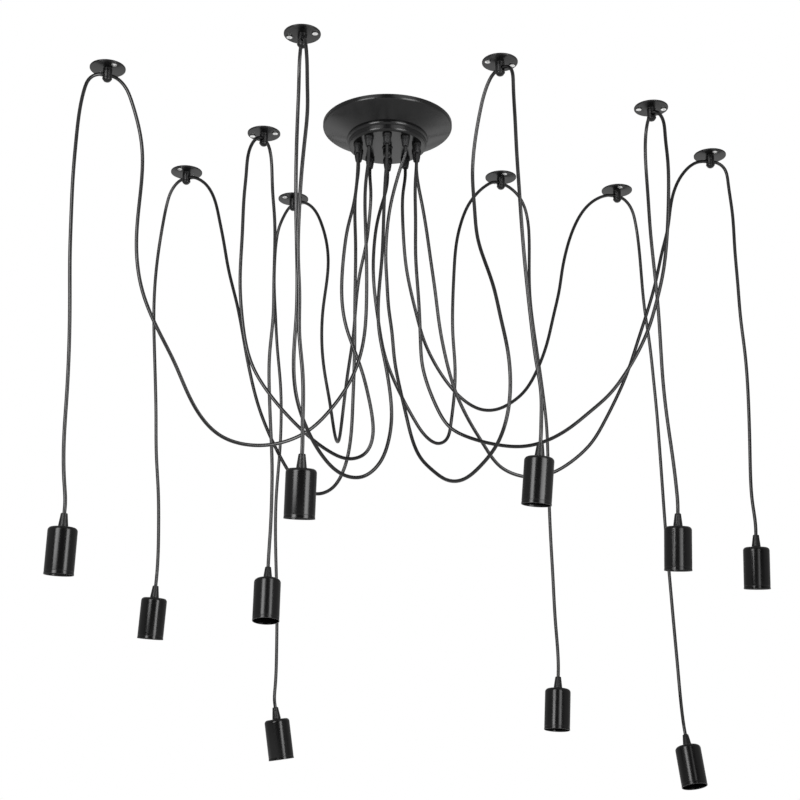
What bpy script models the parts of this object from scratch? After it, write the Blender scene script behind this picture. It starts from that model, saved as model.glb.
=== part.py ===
"""A pendant light with ten cords, in metres, +Z up.

The origin is on the ceiling plane, over the middle of the canopy. +X is the right of the light as it
is seen from below at its near side, and +Y points away from that side. Each cord leaves a gland under
the canopy, hangs in a loop to its own ceiling hook, passes level through the eye of the hook's post
and hangs straight down to a lamp. Each lamp swings, with the cord above it, about the stretch of cord
that lies in the eye.
"""

import math

import bmesh
import bpy
import numpy as np
from mathutils import Vector

# Fits and cuts
GAP = 0.0003
OVERRUN = 0.002
WELD = 0.00001
SMOOTH_ANGLE = math.radians(35)
FULL_CIRCLE = 360
QUARTER_TURN = 90

# Canopy, spun from sheet
CANOPY_RADIUS = 0.107
CANOPY_DEPTH = 0.043
SHEET_THICKNESS = 0.0012
RIM_ROLL_RADIUS = 0.0018
BEAD_HEIGHT = 0.0028
BEAD_RISE = 0.0145
DRUM_RADIUS = 0.0648
DRUM_EDGE_RADIUS = 0.0035
CANOPY_SIDES = 32
RIM_ROLL_END_ANGLE = -60
RIM_ROLL_STEPS = 3
BEAD_START_ANGLE = 55
BEAD_STEPS = 4
DRUM_EDGE_STEPS = 3

# Cord glands, in a ring under the canopy's face
GLAND_COUNT = 10
GLAND_RING_RADIUS = 0.0505
GLAND_NUT_RADIUS = 0.00775
GLAND_NUT_HEIGHT = 0.0045
GLAND_LOCK_RADIUS = 0.007
GLAND_LOCK_HEIGHT = 0.003
GLAND_NECK_RADIUS = 0.00625
GLAND_TIP_RADIUS = 0.005
GLAND_LENGTH = 0.0175
GLAND_SIDES = 8
FIRST_GLAND_ANGLE = -90

# Mounting bar, rod, lock nut and finial
BAR_END_MARGIN = 0.01
BAR_WIDTH = 0.022
BAR_THICKNESS = 0.0025
BAR_HOLE_RADIUS = 0.0026
BAR_HOLE_SPACING = 0.08
BOSS_RADIUS = 0.009
BOSS_HEIGHT = 0.007
ROD_RADIUS = 0.0048
ROD_CLEARANCE = 0.0004
LOCK_NUT_RADIUS = 0.0085
LOCK_NUT_HEIGHT = 0.005
FINIAL_FLANGE_RADIUS = 0.0088
FINIAL_FLANGE_HEIGHT = 0.0015
FINIAL_RADIUS = 0.0075
FINIAL_HEIGHT = 0.017
FINIAL_BORE_DEPTH = 0.0095
FINIAL_DOME_STEPS = 3
ROUND_SIDES = 16
HEX_SIDES = 6
SMALL_SIDES = 8

# Terminal block and earth screw
BLOCK_LENGTH = 0.024
BLOCK_WIDTH = 0.017
BLOCK_HEIGHT = 0.015
BLOCK_HOLE_RADIUS = 0.0019
BLOCK_POLES = 2
BLOCK_OFFSET = 0.024
EARTH_SCREW_OFFSET = 0.022
EARTH_SHANK_RADIUS = 0.002
EARTH_HEAD_RADIUS = 0.004
EARTH_HEAD_HEIGHT = 0.0025

# Ceiling hooks
CEILING_REACH = 0.5
PLATE_RADIUS = 0.0275
PLATE_THICKNESS = 0.0025
PLATE_CHAMFER = 0.0007
POST_RADIUS = 0.0065
POST_LENGTH = 0.022
POST_DOME_STEPS = 3
EYE_DEPTH = 0.013
EYE_CLEARANCE = 0.00125
PLATE_SCREW_SPACING = 0.04
PLATE_SCREW_HOLE_RADIUS = 0.0022
PLATE_SIDES = 16

# Cords
CORD_RADIUS = 0.00275
GLAND_LEAD = 0.01
EYE_LEAD = 0.008
LAMP_LEAD = 0.01
CORD_BEVEL_RESOLUTION = 2
FINE_STEP = 0.002
MOST_TURN_ANGLE = 18
MOST_SAG = 0.0014
MOST_RUN = 0.09

# Lamps: shell, lampholder insert and strain-relief cone
LAMP_RADIUS = 0.021
LAMP_HEIGHT = 0.067
LAMP_WALL = 0.0012
LAMP_SHOULDER_RADIUS = 0.0055
LAMP_LIP_HEIGHT = 0.003
LAMP_LIP_FLARE = 0.0003
SHOULDER_STEPS = 2
CONE_HEIGHT = 0.02
CONE_BASE_RADIUS = 0.00715
CONE_TIP_RADIUS = 0.00475
CONE_TIP_ROUND = 0.0013
CONE_FOOT = 0.0015
NIPPLE_RADIUS = 0.005
INSERT_CLEARANCE = 0.001
INSERT_CHAMFER = 0.005
INSERT_HEIGHT = 0.045
SOCKET_RADIUS = 0.0136
SOCKET_DEPTH = 0.026
CONTACT_RADIUS = 0.004
CONTACT_HEIGHT = 0.002
SHELL_SIDES = 12
HOLDER_SIDES = 10

# Each light: the place of its hook on the ceiling as shares of CEILING_REACH, the heading in degrees
# in which its cord leaves the eye, the heading of its plate screws, its gland's number counted round
# the ring from the near side, and how many degrees its lamp leans towards +X and tips towards +Y.
LIGHT_TABLE = {
    1: {"place_shares": (-0.862, -0.380), "heading": 204, "screws": -51, "gland": 9, "lean": -2.5, "tip": 4},
    2: {"place_shares": (-0.716, 0.364), "heading": 152, "screws": -116, "gland": 7, "lean": -4.3, "tip": 5.5},
    3: {"place_shares": (-0.416, 0.062), "heading": 63, "screws": -14, "gland": 8, "lean": -0.5, "tip": -7},
    4: {"place_shares": (-0.248, -0.586), "heading": -78, "screws": -15, "gland": 0, "lean": -2, "tip": 9},
    5: {"place_shares": (-0.352, 0.592), "heading": 128, "screws": -136, "gland": 6, "lean": 7.8, "tip": 5},
    6: {"place_shares": (0.348, -0.418), "heading": -49, "screws": 17, "gland": 1, "lean": -4.7, "tip": 5},
    7: {"place_shares": (0.402, 0.406), "heading": 37, "screws": -74, "gland": 5, "lean": -3.2, "tip": -3},
    8: {"place_shares": (0.832, 0.518), "heading": 29, "screws": -81, "gland": 4, "lean": 5.1, "tip": -12},
    9: {"place_shares": (0.858, -0.120), "heading": 103, "screws": -1, "gland": 2, "lean": -1.4, "tip": 7},
    10: {"place_shares": (1.116, 0.230), "heading": 11, "screws": -77, "gland": 3, "lean": -0.8, "tip": 7},
}

# The cord loops from the gland to the eye: points in metres, chosen along each loop.
LOOP_POINTS = {
    1: [
        (-0.034, -0.042, -0.120), (-0.034, -0.043, -0.210), (-0.032, -0.042, -0.330),
        (-0.037, -0.044, -0.400), (-0.054, -0.050, -0.459), (-0.084, -0.061, -0.511),
        (-0.118, -0.074, -0.550), (-0.155, -0.088, -0.572), (-0.200, -0.104, -0.581),
        (-0.247, -0.122, -0.570), (-0.281, -0.134, -0.534), (-0.314, -0.146, -0.466),
        (-0.339, -0.156, -0.418), (-0.364, -0.165, -0.359), (-0.376, -0.170, -0.280),
        (-0.374, -0.169, -0.200), (-0.376, -0.170, -0.120), (-0.383, -0.173, -0.086),
        (-0.394, -0.177, -0.050), (-0.407, -0.181, -0.024),
    ],
    2: [
        (-0.052, 0.018, -0.110), (-0.052, 0.018, -0.200), (-0.052, 0.018, -0.300),
        (-0.052, 0.018, -0.400), (-0.054, 0.019, -0.480), (-0.058, 0.021, -0.545),
        (-0.069, 0.027, -0.589), (-0.085, 0.036, -0.612), (-0.108, 0.048, -0.619),
        (-0.138, 0.064, -0.602), (-0.162, 0.077, -0.568), (-0.187, 0.090, -0.519),
        (-0.211, 0.103, -0.459), (-0.226, 0.111, -0.405), (-0.238, 0.117, -0.350),
        (-0.255, 0.127, -0.270), (-0.272, 0.136, -0.205), (-0.283, 0.142, -0.150),
        (-0.293, 0.147, -0.104), (-0.302, 0.152, -0.069), (-0.315, 0.159, -0.041),
        (-0.333, 0.169, -0.021),
    ],
    3: [
        (-0.050, -0.016, -0.117), (-0.055, -0.016, -0.154), (-0.063, -0.017, -0.190),
        (-0.069, -0.017, -0.234), (-0.072, -0.017, -0.278), (-0.071, -0.018, -0.325),
        (-0.063, -0.018, -0.368), (-0.050, -0.017, -0.405), (-0.038, -0.016, -0.440),
        (-0.029, -0.016, -0.476), (-0.022, -0.015, -0.515), (-0.022, -0.014, -0.545),
        (-0.034, -0.013, -0.570), (-0.055, -0.013, -0.578), (-0.087, -0.012, -0.567),
        (-0.133, -0.011, -0.530), (-0.184, -0.010, -0.472), (-0.212, -0.009, -0.425),
        (-0.230, -0.008, -0.350), (-0.236, -0.007, -0.280), (-0.235, -0.006, -0.200),
        (-0.234, -0.005, -0.130), (-0.232, -0.003, -0.090), (-0.230, -0.001, -0.056),
        (-0.223, 0.006, -0.029),
    ],
    4: [
        (-0.002, -0.050, -0.110), (-0.005, -0.051, -0.180), (-0.008, -0.055, -0.265),
        (-0.013, -0.060, -0.335), (-0.011, -0.064, -0.390), (-0.003, -0.069, -0.435),
        (0.005, -0.075, -0.485), (0.008, -0.080, -0.530), (0.003, -0.088, -0.572),
        (-0.012, -0.101, -0.611), (-0.035, -0.114, -0.632), (-0.064, -0.134, -0.633),
        (-0.092, -0.161, -0.612), (-0.113, -0.192, -0.580), (-0.127, -0.218, -0.540),
        (-0.131, -0.232, -0.495), (-0.128, -0.241, -0.430), (-0.128, -0.245, -0.350),
        (-0.131, -0.249, -0.265), (-0.132, -0.252, -0.185), (-0.131, -0.255, -0.110),
        (-0.130, -0.259, -0.062), (-0.129, -0.267, -0.027),
    ],
    5: [
        (-0.028, 0.041, -0.100), (-0.030, 0.045, -0.148), (-0.036, 0.055, -0.195),
        (-0.045, 0.066, -0.235), (-0.052, 0.080, -0.285), (-0.057, 0.097, -0.340),
        (-0.065, 0.116, -0.390), (-0.071, 0.131, -0.432), (-0.076, 0.144, -0.472),
        (-0.082, 0.169, -0.499), (-0.088, 0.195, -0.487), (-0.095, 0.209, -0.448),
        (-0.102, 0.216, -0.405), (-0.110, 0.221, -0.360), (-0.115, 0.225, -0.315),
        (-0.116, 0.228, -0.270), (-0.114, 0.230, -0.235), (-0.109, 0.232, -0.190),
        (-0.107, 0.234, -0.148), (-0.112, 0.238, -0.105), (-0.121, 0.243, -0.072),
        (-0.134, 0.253, -0.042), (-0.152, 0.269, -0.021),
    ],
    6: [
        (0.025, -0.037, -0.086), (0.016, -0.031, -0.114), (0.006, -0.026, -0.155),
        (0.000, -0.024, -0.200), (-0.002, -0.022, -0.245), (0.000, -0.022, -0.290),
        (0.003, -0.024, -0.335), (0.008, -0.027, -0.375), (0.012, -0.030, -0.420),
        (0.019, -0.036, -0.463), (0.031, -0.047, -0.521), (0.040, -0.055, -0.560),
        (0.052, -0.068, -0.591), (0.070, -0.088, -0.616), (0.090, -0.111, -0.636),
        (0.114, -0.140, -0.642), (0.138, -0.167, -0.628), (0.160, -0.192, -0.603),
        (0.174, -0.209, -0.565), (0.179, -0.215, -0.515), (0.176, -0.211, -0.465),
        (0.168, -0.202, -0.415), (0.159, -0.192, -0.363), (0.147, -0.178, -0.315),
        (0.138, -0.168, -0.275), (0.134, -0.162, -0.220), (0.132, -0.160, -0.170),
        (0.136, -0.165, -0.115), (0.145, -0.176, -0.064), (0.154, -0.186, -0.032),
    ],
    7: [
        (-0.002, 0.049, -0.093), (-0.010, 0.044, -0.127), (-0.018, 0.039, -0.166),
        (-0.022, 0.037, -0.205), (-0.023, 0.036, -0.245), (-0.020, 0.037, -0.290),
        (-0.014, 0.041, -0.335), (-0.004, 0.048, -0.388), (0.018, 0.064, -0.442),
        (0.044, 0.084, -0.487), (0.063, 0.098, -0.511), (0.082, 0.112, -0.519), (0.097, 0.124, -0.509),
        (0.105, 0.130, -0.480), (0.111, 0.135, -0.430), (0.113, 0.136, -0.380), (0.110, 0.134, -0.325),
        (0.110, 0.134, -0.275), (0.113, 0.136, -0.210), (0.118, 0.140, -0.154), (0.127, 0.147, -0.112),
        (0.139, 0.156, -0.078), (0.154, 0.167, -0.051), (0.172, 0.181, -0.028),
    ],
    8: [
        (0.026, 0.039, -0.105), (0.025, 0.038, -0.145), (0.027, 0.039, -0.193), (0.031, 0.042, -0.237),
        (0.040, 0.047, -0.285), (0.049, 0.052, -0.322), (0.060, 0.058, -0.360), (0.074, 0.066, -0.390),
        (0.090, 0.075, -0.415), (0.109, 0.086, -0.437), (0.130, 0.098, -0.453), (0.153, 0.111, -0.461),
        (0.180, 0.126, -0.457), (0.206, 0.140, -0.441), (0.231, 0.155, -0.415), (0.255, 0.168, -0.371),
        (0.272, 0.178, -0.325), (0.286, 0.186, -0.270), (0.298, 0.192, -0.220), (0.305, 0.196, -0.180),
        (0.316, 0.202, -0.134), (0.332, 0.212, -0.089), (0.352, 0.223, -0.053), (0.378, 0.238, -0.026),
    ],
    9: [
        (0.046, -0.016, -0.110), (0.046, -0.016, -0.180), (0.046, -0.016, -0.240),
        (0.050, -0.018, -0.310), (0.053, -0.022, -0.385), (0.056, -0.025, -0.430),
        (0.064, -0.027, -0.463), (0.078, -0.029, -0.500), (0.098, -0.033, -0.533),
        (0.125, -0.038, -0.550), (0.170, -0.044, -0.564), (0.210, -0.050, -0.568),
        (0.246, -0.056, -0.560), (0.280, -0.063, -0.542), (0.311, -0.069, -0.518),
        (0.339, -0.076, -0.494), (0.361, -0.082, -0.467), (0.384, -0.087, -0.430),
        (0.402, -0.090, -0.392), (0.415, -0.094, -0.352), (0.427, -0.098, -0.305),
        (0.436, -0.100, -0.245), (0.442, -0.100, -0.175), (0.444, -0.099, -0.110),
        (0.443, -0.095, -0.070), (0.440, -0.088, -0.031),
    ],
    10: [
        (0.050, 0.016, -0.095), (0.056, 0.017, -0.130), (0.064, 0.019, -0.180), (0.071, 0.020, -0.235),
        (0.078, 0.021, -0.290), (0.085, 0.023, -0.350), (0.094, 0.025, -0.400), (0.104, 0.027, -0.440),
        (0.117, 0.029, -0.476), (0.135, 0.032, -0.512), (0.155, 0.036, -0.545), (0.180, 0.041, -0.577),
        (0.203, 0.046, -0.588), (0.235, 0.052, -0.591), (0.266, 0.058, -0.581), (0.300, 0.065, -0.558),
        (0.328, 0.070, -0.530), (0.350, 0.075, -0.495), (0.372, 0.079, -0.453), (0.393, 0.083, -0.407),
        (0.413, 0.087, -0.352), (0.433, 0.091, -0.295), (0.450, 0.094, -0.240), (0.464, 0.097, -0.185),
        (0.475, 0.099, -0.145), (0.483, 0.100, -0.100), (0.494, 0.103, -0.064), (0.513, 0.106, -0.033),
        (0.535, 0.110, -0.016),
    ],
}

# The hanging cords from the eye to the lamp, the last point being the top of the lamp.
DROP_POINTS = {
    1: [
        (-0.453, -0.200, -0.021), (-0.462, -0.204, -0.045), (-0.467, -0.205, -0.085),
        (-0.469, -0.205, -0.130), (-0.470, -0.205, -0.190), (-0.469, -0.204, -0.255),
        (-0.467, -0.203, -0.320), (-0.463, -0.202, -0.390), (-0.460, -0.201, -0.460),
        (-0.459, -0.200, -0.530), (-0.459, -0.199, -0.600), (-0.455, -0.198, -0.660),
        (-0.452, -0.198, -0.706),
    ],
    2: [
        (-0.383, 0.195, -0.026), (-0.393, 0.201, -0.052), (-0.399, 0.203, -0.090),
        (-0.404, 0.205, -0.132), (-0.408, 0.206, -0.190), (-0.408, 0.206, -0.255),
        (-0.404, 0.205, -0.320), (-0.399, 0.203, -0.385), (-0.395, 0.202, -0.445),
        (-0.391, 0.201, -0.515), (-0.385, 0.199, -0.575), (-0.381, 0.197, -0.640),
        (-0.381, 0.195, -0.739),
    ],
    3: [
        (-0.199, 0.053, -0.023), (-0.196, 0.062, -0.050), (-0.194, 0.065, -0.090),
        (-0.190, 0.066, -0.135), (-0.188, 0.066, -0.190), (-0.188, 0.066, -0.255),
        (-0.188, 0.066, -0.320), (-0.192, 0.066, -0.380), (-0.191, 0.067, -0.445),
        (-0.187, 0.067, -0.510), (-0.184, 0.068, -0.560), (-0.183, 0.068, -0.620),
        (-0.184, 0.069, -0.675), (-0.186, 0.069, -0.732),
    ],
    4: [
        (-0.119, -0.316, -0.021), (-0.115, -0.323, -0.052), (-0.113, -0.325, -0.100),
        (-0.112, -0.326, -0.140), (-0.115, -0.326, -0.190), (-0.119, -0.327, -0.250),
        (-0.121, -0.328, -0.310), (-0.121, -0.329, -0.370), (-0.118, -0.329, -0.430),
        (-0.117, -0.330, -0.485), (-0.112, -0.330, -0.535), (-0.110, -0.330, -0.580),
        (-0.110, -0.331, -0.620), (-0.110, -0.331, -0.655),
    ],
    5: [
        (-0.194, 0.319, -0.024), (-0.204, 0.330, -0.044), (-0.209, 0.336, -0.070),
        (-0.211, 0.338, -0.105), (-0.211, 0.338, -0.150), (-0.207, 0.336, -0.215),
        (-0.202, 0.335, -0.280), (-0.195, 0.333, -0.345), (-0.192, 0.332, -0.410),
        (-0.193, 0.331, -0.475), (-0.197, 0.330, -0.550), (-0.197, 0.328, -0.620),
        (-0.194, 0.327, -0.690), (-0.191, 0.326, -0.760), (-0.190, 0.325, -0.830),
        (-0.191, 0.324, -0.890), (-0.190, 0.324, -0.923),
    ],
    6: [
        (0.188, -0.226, -0.020), (0.192, -0.231, -0.050), (0.193, -0.236, -0.110),
        (0.194, -0.239, -0.165), (0.196, -0.242, -0.225), (0.198, -0.244, -0.280),
        (0.201, -0.246, -0.340), (0.205, -0.248, -0.400), (0.209, -0.249, -0.450),
        (0.214, -0.250, -0.500), (0.219, -0.252, -0.545), (0.218, -0.253, -0.590),
        (0.216, -0.254, -0.619),
    ],
    7: [
        (0.225, 0.219, -0.020), (0.240, 0.229, -0.036), (0.249, 0.236, -0.062), (0.252, 0.238, -0.100),
        (0.251, 0.239, -0.155), (0.251, 0.239, -0.215), (0.256, 0.240, -0.275), (0.263, 0.241, -0.335),
        (0.270, 0.242, -0.400), (0.274, 0.243, -0.450), (0.275, 0.244, -0.510), (0.275, 0.245, -0.580),
        (0.276, 0.246, -0.650), (0.278, 0.247, -0.720), (0.280, 0.248, -0.790), (0.282, 0.249, -0.881),
    ],
    8: [
        (0.440, 0.272, -0.025), (0.450, 0.278, -0.055), (0.455, 0.281, -0.105), (0.457, 0.282, -0.155),
        (0.460, 0.283, -0.220), (0.466, 0.284, -0.285), (0.470, 0.285, -0.350), (0.473, 0.285, -0.415),
        (0.475, 0.286, -0.480), (0.477, 0.288, -0.560), (0.479, 0.289, -0.640), (0.482, 0.290, -0.720),
        (0.485, 0.291, -0.795), (0.488, 0.292, -0.865), (0.491, 0.293, -0.930), (0.495, 0.293, -0.971),
    ],
    9: [
        (0.425, -0.038, -0.020), (0.422, -0.030, -0.050), (0.422, -0.025, -0.095),
        (0.423, -0.024, -0.140), (0.424, -0.024, -0.200), (0.427, -0.024, -0.265),
        (0.430, -0.024, -0.330), (0.431, -0.024, -0.395), (0.432, -0.024, -0.460),
        (0.436, -0.024, -0.525), (0.441, -0.024, -0.583), (0.444, -0.024, -0.630),
        (0.444, -0.024, -0.667),
    ],
    10: [
        (0.580, 0.119, -0.020), (0.588, 0.121, -0.050), (0.592, 0.122, -0.108), (0.592, 0.122, -0.170),
        (0.593, 0.122, -0.235), (0.594, 0.122, -0.300), (0.597, 0.122, -0.355), (0.598, 0.122, -0.410),
        (0.597, 0.122, -0.460), (0.595, 0.122, -0.515), (0.593, 0.123, -0.565), (0.593, 0.123, -0.615),
        (0.595, 0.123, -0.669),
    ],
}


def make_material(name, colour, roughness, metallic):
    material = bpy.data.materials.new(name)
    material.use_nodes = True
    shader = material.node_tree.nodes["Principled BSDF"]
    shader.inputs["Base Color"].default_value = (*colour, 1)
    shader.inputs["Roughness"].default_value = roughness
    shader.inputs["Metallic"].default_value = metallic
    return material


def finished_mesh(name, shape, material):
    """Turns a bmesh into a smooth-shaded mesh, which several objects may share."""
    mesh = bpy.data.meshes.new(name)
    bmesh.ops.recalc_face_normals(shape, faces=shape.faces)
    shape.to_mesh(mesh)
    shape.free()
    mesh.shade_smooth()
    mesh.set_sharp_from_angle(angle=SMOOTH_ANGLE)
    mesh.materials.append(material)
    return mesh


def add_object(name, data):
    item = bpy.data.objects.new(name, data)
    bpy.context.scene.collection.objects.link(item)
    return item


def arc(centre, radius, start, end, steps):
    """Points (r, z) round a centre, from one angle to another in degrees."""
    angles = np.radians(np.linspace(start, end, steps + 1))
    return [(centre[0] + radius * math.cos(a), centre[1] + radius * math.sin(a)) for a in angles]


def turned(outline, sides, closed=False):
    """A bmesh of an outline (r, z) turned about Z. An open outline starts and ends on the axis."""
    shape = bmesh.new()
    corners = [shape.verts.new((radius, 0, height)) for radius, height in outline]
    edges = [shape.edges.new(pair) for pair in zip(corners, corners[1:])]
    if closed:
        edges.append(shape.edges.new((corners[-1], corners[0])))
    bmesh.ops.spin(
        shape, geom=corners + edges, cent=(0, 0, 0), axis=(0, 0, 1), angle=math.tau, steps=sides
    )
    bmesh.ops.remove_doubles(shape, verts=shape.verts, dist=WELD)
    return shape


def cylinder(radius, bottom, top, sides):
    return turned([(0, top), (radius, top), (radius, bottom), (0, bottom)], sides)


def box(size, centre):
    shape = bmesh.new()
    bmesh.ops.create_cube(shape, size=1)
    bmesh.ops.scale(shape, vec=size, verts=shape.verts)
    bmesh.ops.translate(shape, vec=centre, verts=shape.verts)
    return shape


def moved(shape, offset):
    bmesh.ops.translate(shape, vec=offset, verts=shape.verts)
    return shape


def combine(item, shape, operation):
    """Adds or cuts a bmesh, given in the object's own space, with a Boolean."""
    bmesh.ops.recalc_face_normals(shape, faces=shape.faces)
    mesh = bpy.data.meshes.new(f"{item.name}_tool")
    shape.to_mesh(mesh)
    shape.free()
    tool = add_object(f"{item.name}_tool", mesh)
    tool.parent = item
    tool.hide_render = True
    tool.display_type = "WIRE"
    modifier = item.modifiers.new(tool.name, "BOOLEAN")
    modifier.operation = operation
    modifier.solver = "EXACT"
    modifier.object = tool


def merged(shapes):
    """One bmesh that holds several."""
    whole = bmesh.new()
    for shape in shapes:
        mesh = bpy.data.meshes.new("merged")
        shape.to_mesh(mesh)
        shape.free()
        whole.from_mesh(mesh)
        bpy.data.meshes.remove(mesh)
    return whole


def rim_and_bead():
    """The canopy's rolled rim and the bead below its cone brim, as arcs of points (r, z)."""
    rim_centre = (CANOPY_RADIUS - RIM_ROLL_RADIUS, -RIM_ROLL_RADIUS)
    rim = arc(rim_centre, RIM_ROLL_RADIUS, QUARTER_TURN, RIM_ROLL_END_ANGLE, RIM_ROLL_STEPS)
    bead_centre = (DRUM_RADIUS, -CANOPY_DEPTH + BEAD_RISE)
    bead = arc(bead_centre, BEAD_HEIGHT, BEAD_START_ANGLE, -QUARTER_TURN, BEAD_STEPS)
    return rim, bead


def canopy_outline():
    """The closed section of the sheet, down the outside and back up the inside."""
    rim, bead = rim_and_bead()
    edge_centre = (DRUM_RADIUS - DRUM_EDGE_RADIUS, -CANOPY_DEPTH + DRUM_EDGE_RADIUS)
    edge = arc(edge_centre, DRUM_EDGE_RADIUS, 0, -QUARTER_TURN, DRUM_EDGE_STEPS)
    hole = ROD_RADIUS + ROD_CLEARANCE
    run = rim[-1][0] - bead[0][0]
    fall = rim[-1][1] - bead[0][1]
    slope = fall / run
    across = SHEET_THICKNESS * math.hypot(run, fall) / run
    inner_top = CANOPY_RADIUS - RIM_ROLL_RADIUS - SHEET_THICKNESS
    inner_foot = DRUM_RADIUS - SHEET_THICKNESS
    inside = [
        (hole, -CANOPY_DEPTH),
        (hole, -CANOPY_DEPTH + SHEET_THICKNESS),
        (edge_centre[0], -CANOPY_DEPTH + SHEET_THICKNESS),
        (inner_foot, edge_centre[1]),
        (inner_foot, bead[0][1] - (bead[0][0] - inner_foot) * slope + across),
        (inner_top, rim[-1][1] - (rim[-1][0] - inner_top) * slope + across),
        (inner_top, 0),
    ]
    return rim + bead + edge + inside


def gland_places():
    angles = [FIRST_GLAND_ANGLE + FULL_CIRCLE * number / GLAND_COUNT for number in range(GLAND_COUNT)]
    places = []
    for angle in np.radians(angles):
        places.append(Vector((math.cos(angle), math.sin(angle), 0)) * GLAND_RING_RADIUS)
    return places


def gland():
    """A cord grip through the face: lock nut above it, nut, neck and tapered tip below it."""
    face = -CANOPY_DEPTH
    mid_sheet = face + SHEET_THICKNESS / 2
    outline = [
        (0, face + SHEET_THICKNESS + GLAND_LOCK_HEIGHT),
        (GLAND_LOCK_RADIUS, face + SHEET_THICKNESS + GLAND_LOCK_HEIGHT),
        (GLAND_LOCK_RADIUS, mid_sheet),
        (GLAND_NUT_RADIUS, mid_sheet),
        (GLAND_NUT_RADIUS, face - GLAND_NUT_HEIGHT),
        (GLAND_NECK_RADIUS, face - GLAND_NUT_HEIGHT),
        (GLAND_TIP_RADIUS, face - GLAND_LENGTH),
        (0, face - GLAND_LENGTH),
    ]
    return turned(outline, GLAND_SIDES)


def make_canopy(material):
    shape = turned(canopy_outline(), CANOPY_SIDES, closed=True)
    canopy = add_object("canopy", finished_mesh("canopy", shape, material))
    combine(canopy, merged([moved(gland(), place) for place in gland_places()]), "UNION")


def make_mounting(steel, brass, plastic):
    """The bar against the ceiling, its rod and lock nut, the finial and what the bar carries."""
    bar_length = BAR_HOLE_SPACING + 2 * BAR_END_MARGIN
    bar_shape = box((bar_length, BAR_WIDTH, BAR_THICKNESS), (0, 0, -BAR_THICKNESS / 2))
    bar = add_object("mounting_bar", finished_mesh("mounting_bar", bar_shape, steel))
    boss_foot = -BAR_THICKNESS - BOSS_HEIGHT
    combine(bar, cylinder(BOSS_RADIUS, boss_foot, -BAR_THICKNESS / 2, ROUND_SIDES), "UNION")
    bore_radius = ROD_RADIUS + ROD_CLEARANCE
    cuts = [cylinder(bore_radius, boss_foot - OVERRUN, -BAR_THICKNESS, ROUND_SIDES)]
    for side in (-1, 1):
        hole = cylinder(BAR_HOLE_RADIUS, -BAR_THICKNESS - OVERRUN, OVERRUN, SMALL_SIDES)
        cuts.append(moved(hole, (side * BAR_HOLE_SPACING / 2, 0, 0)))
    earth_hole = cylinder(EARTH_SHANK_RADIUS + GAP, -BAR_THICKNESS - OVERRUN, OVERRUN, SMALL_SIDES)
    cuts.append(moved(earth_hole, (-EARTH_SCREW_OFFSET, 0, 0)))
    combine(bar, merged(cuts), "DIFFERENCE")

    rod_foot = -CANOPY_DEPTH - FINIAL_BORE_DEPTH + GAP
    rod = cylinder(ROD_RADIUS, rod_foot, -BAR_THICKNESS - GAP, ROUND_SIDES)
    add_object("mounting_rod", finished_mesh("mounting_rod", rod, steel))

    nut_top = boss_foot - GAP
    nut_foot = nut_top - LOCK_NUT_HEIGHT
    nut_shape = cylinder(LOCK_NUT_RADIUS, nut_foot, nut_top, HEX_SIDES)
    nut = add_object("lock_nut", finished_mesh("lock_nut", nut_shape, brass))
    combine(nut, cylinder(bore_radius, nut_foot - OVERRUN, nut_top + OVERRUN, ROUND_SIDES), "DIFFERENCE")

    block_centre = (BLOCK_OFFSET, 0, -BAR_THICKNESS - GAP - BLOCK_HEIGHT / 2)
    block_shape = box((BLOCK_WIDTH, BLOCK_LENGTH, BLOCK_HEIGHT), block_centre)
    block = add_object("terminal_block", finished_mesh("terminal_block", block_shape, plastic))
    bores = []
    reach = BLOCK_WIDTH / 2 + OVERRUN
    for number in range(BLOCK_POLES):
        across = (number - (BLOCK_POLES - 1) / 2) * BLOCK_LENGTH / BLOCK_POLES
        bore = cylinder(BLOCK_HOLE_RADIUS, -reach, reach, SMALL_SIDES)
        bmesh.ops.rotate(bore, verts=bore.verts, matrix=quarter_about_y())
        bores.append(moved(bore, (block_centre[0], across, block_centre[2])))
    combine(block, merged(bores), "DIFFERENCE")

    head_top = -BAR_THICKNESS - GAP
    screw_outline = [
        (0, -GAP),
        (EARTH_SHANK_RADIUS, -GAP),
        (EARTH_SHANK_RADIUS, head_top),
        (EARTH_HEAD_RADIUS, head_top),
        (EARTH_HEAD_RADIUS, head_top - EARTH_HEAD_HEIGHT),
        (0, head_top - EARTH_HEAD_HEIGHT),
    ]
    screw_mesh = finished_mesh("earth_screw", turned(screw_outline, SMALL_SIDES), brass)
    screw = add_object("earth_screw", screw_mesh)
    screw.location = (-EARTH_SCREW_OFFSET, 0, 0)


def quarter_about_y():
    return Vector((0, 0, 1)).rotation_difference(Vector((1, 0, 0))).to_matrix()


def make_finial(material):
    """The cap nut: a flange under the canopy's face, a body, a dome and a blind bore for the rod."""
    top = -CANOPY_DEPTH - GAP
    body_foot = top - FINIAL_HEIGHT + FINIAL_RADIUS
    bore_radius = ROD_RADIUS + ROD_CLEARANCE
    dome = arc((0, body_foot), FINIAL_RADIUS, 0, -QUARTER_TURN, FINIAL_DOME_STEPS)
    outline = [
        (0, -CANOPY_DEPTH - FINIAL_BORE_DEPTH),
        (bore_radius, -CANOPY_DEPTH - FINIAL_BORE_DEPTH),
        (bore_radius, top),
        (FINIAL_FLANGE_RADIUS, top),
        (FINIAL_FLANGE_RADIUS, top - FINIAL_FLANGE_HEIGHT),
        (FINIAL_RADIUS, top - FINIAL_FLANGE_HEIGHT),
        *dome[:-1],
        (0, dome[-1][1]),
    ]
    add_object("finial", finished_mesh("finial", turned(outline, ROUND_SIDES), material))


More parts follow.
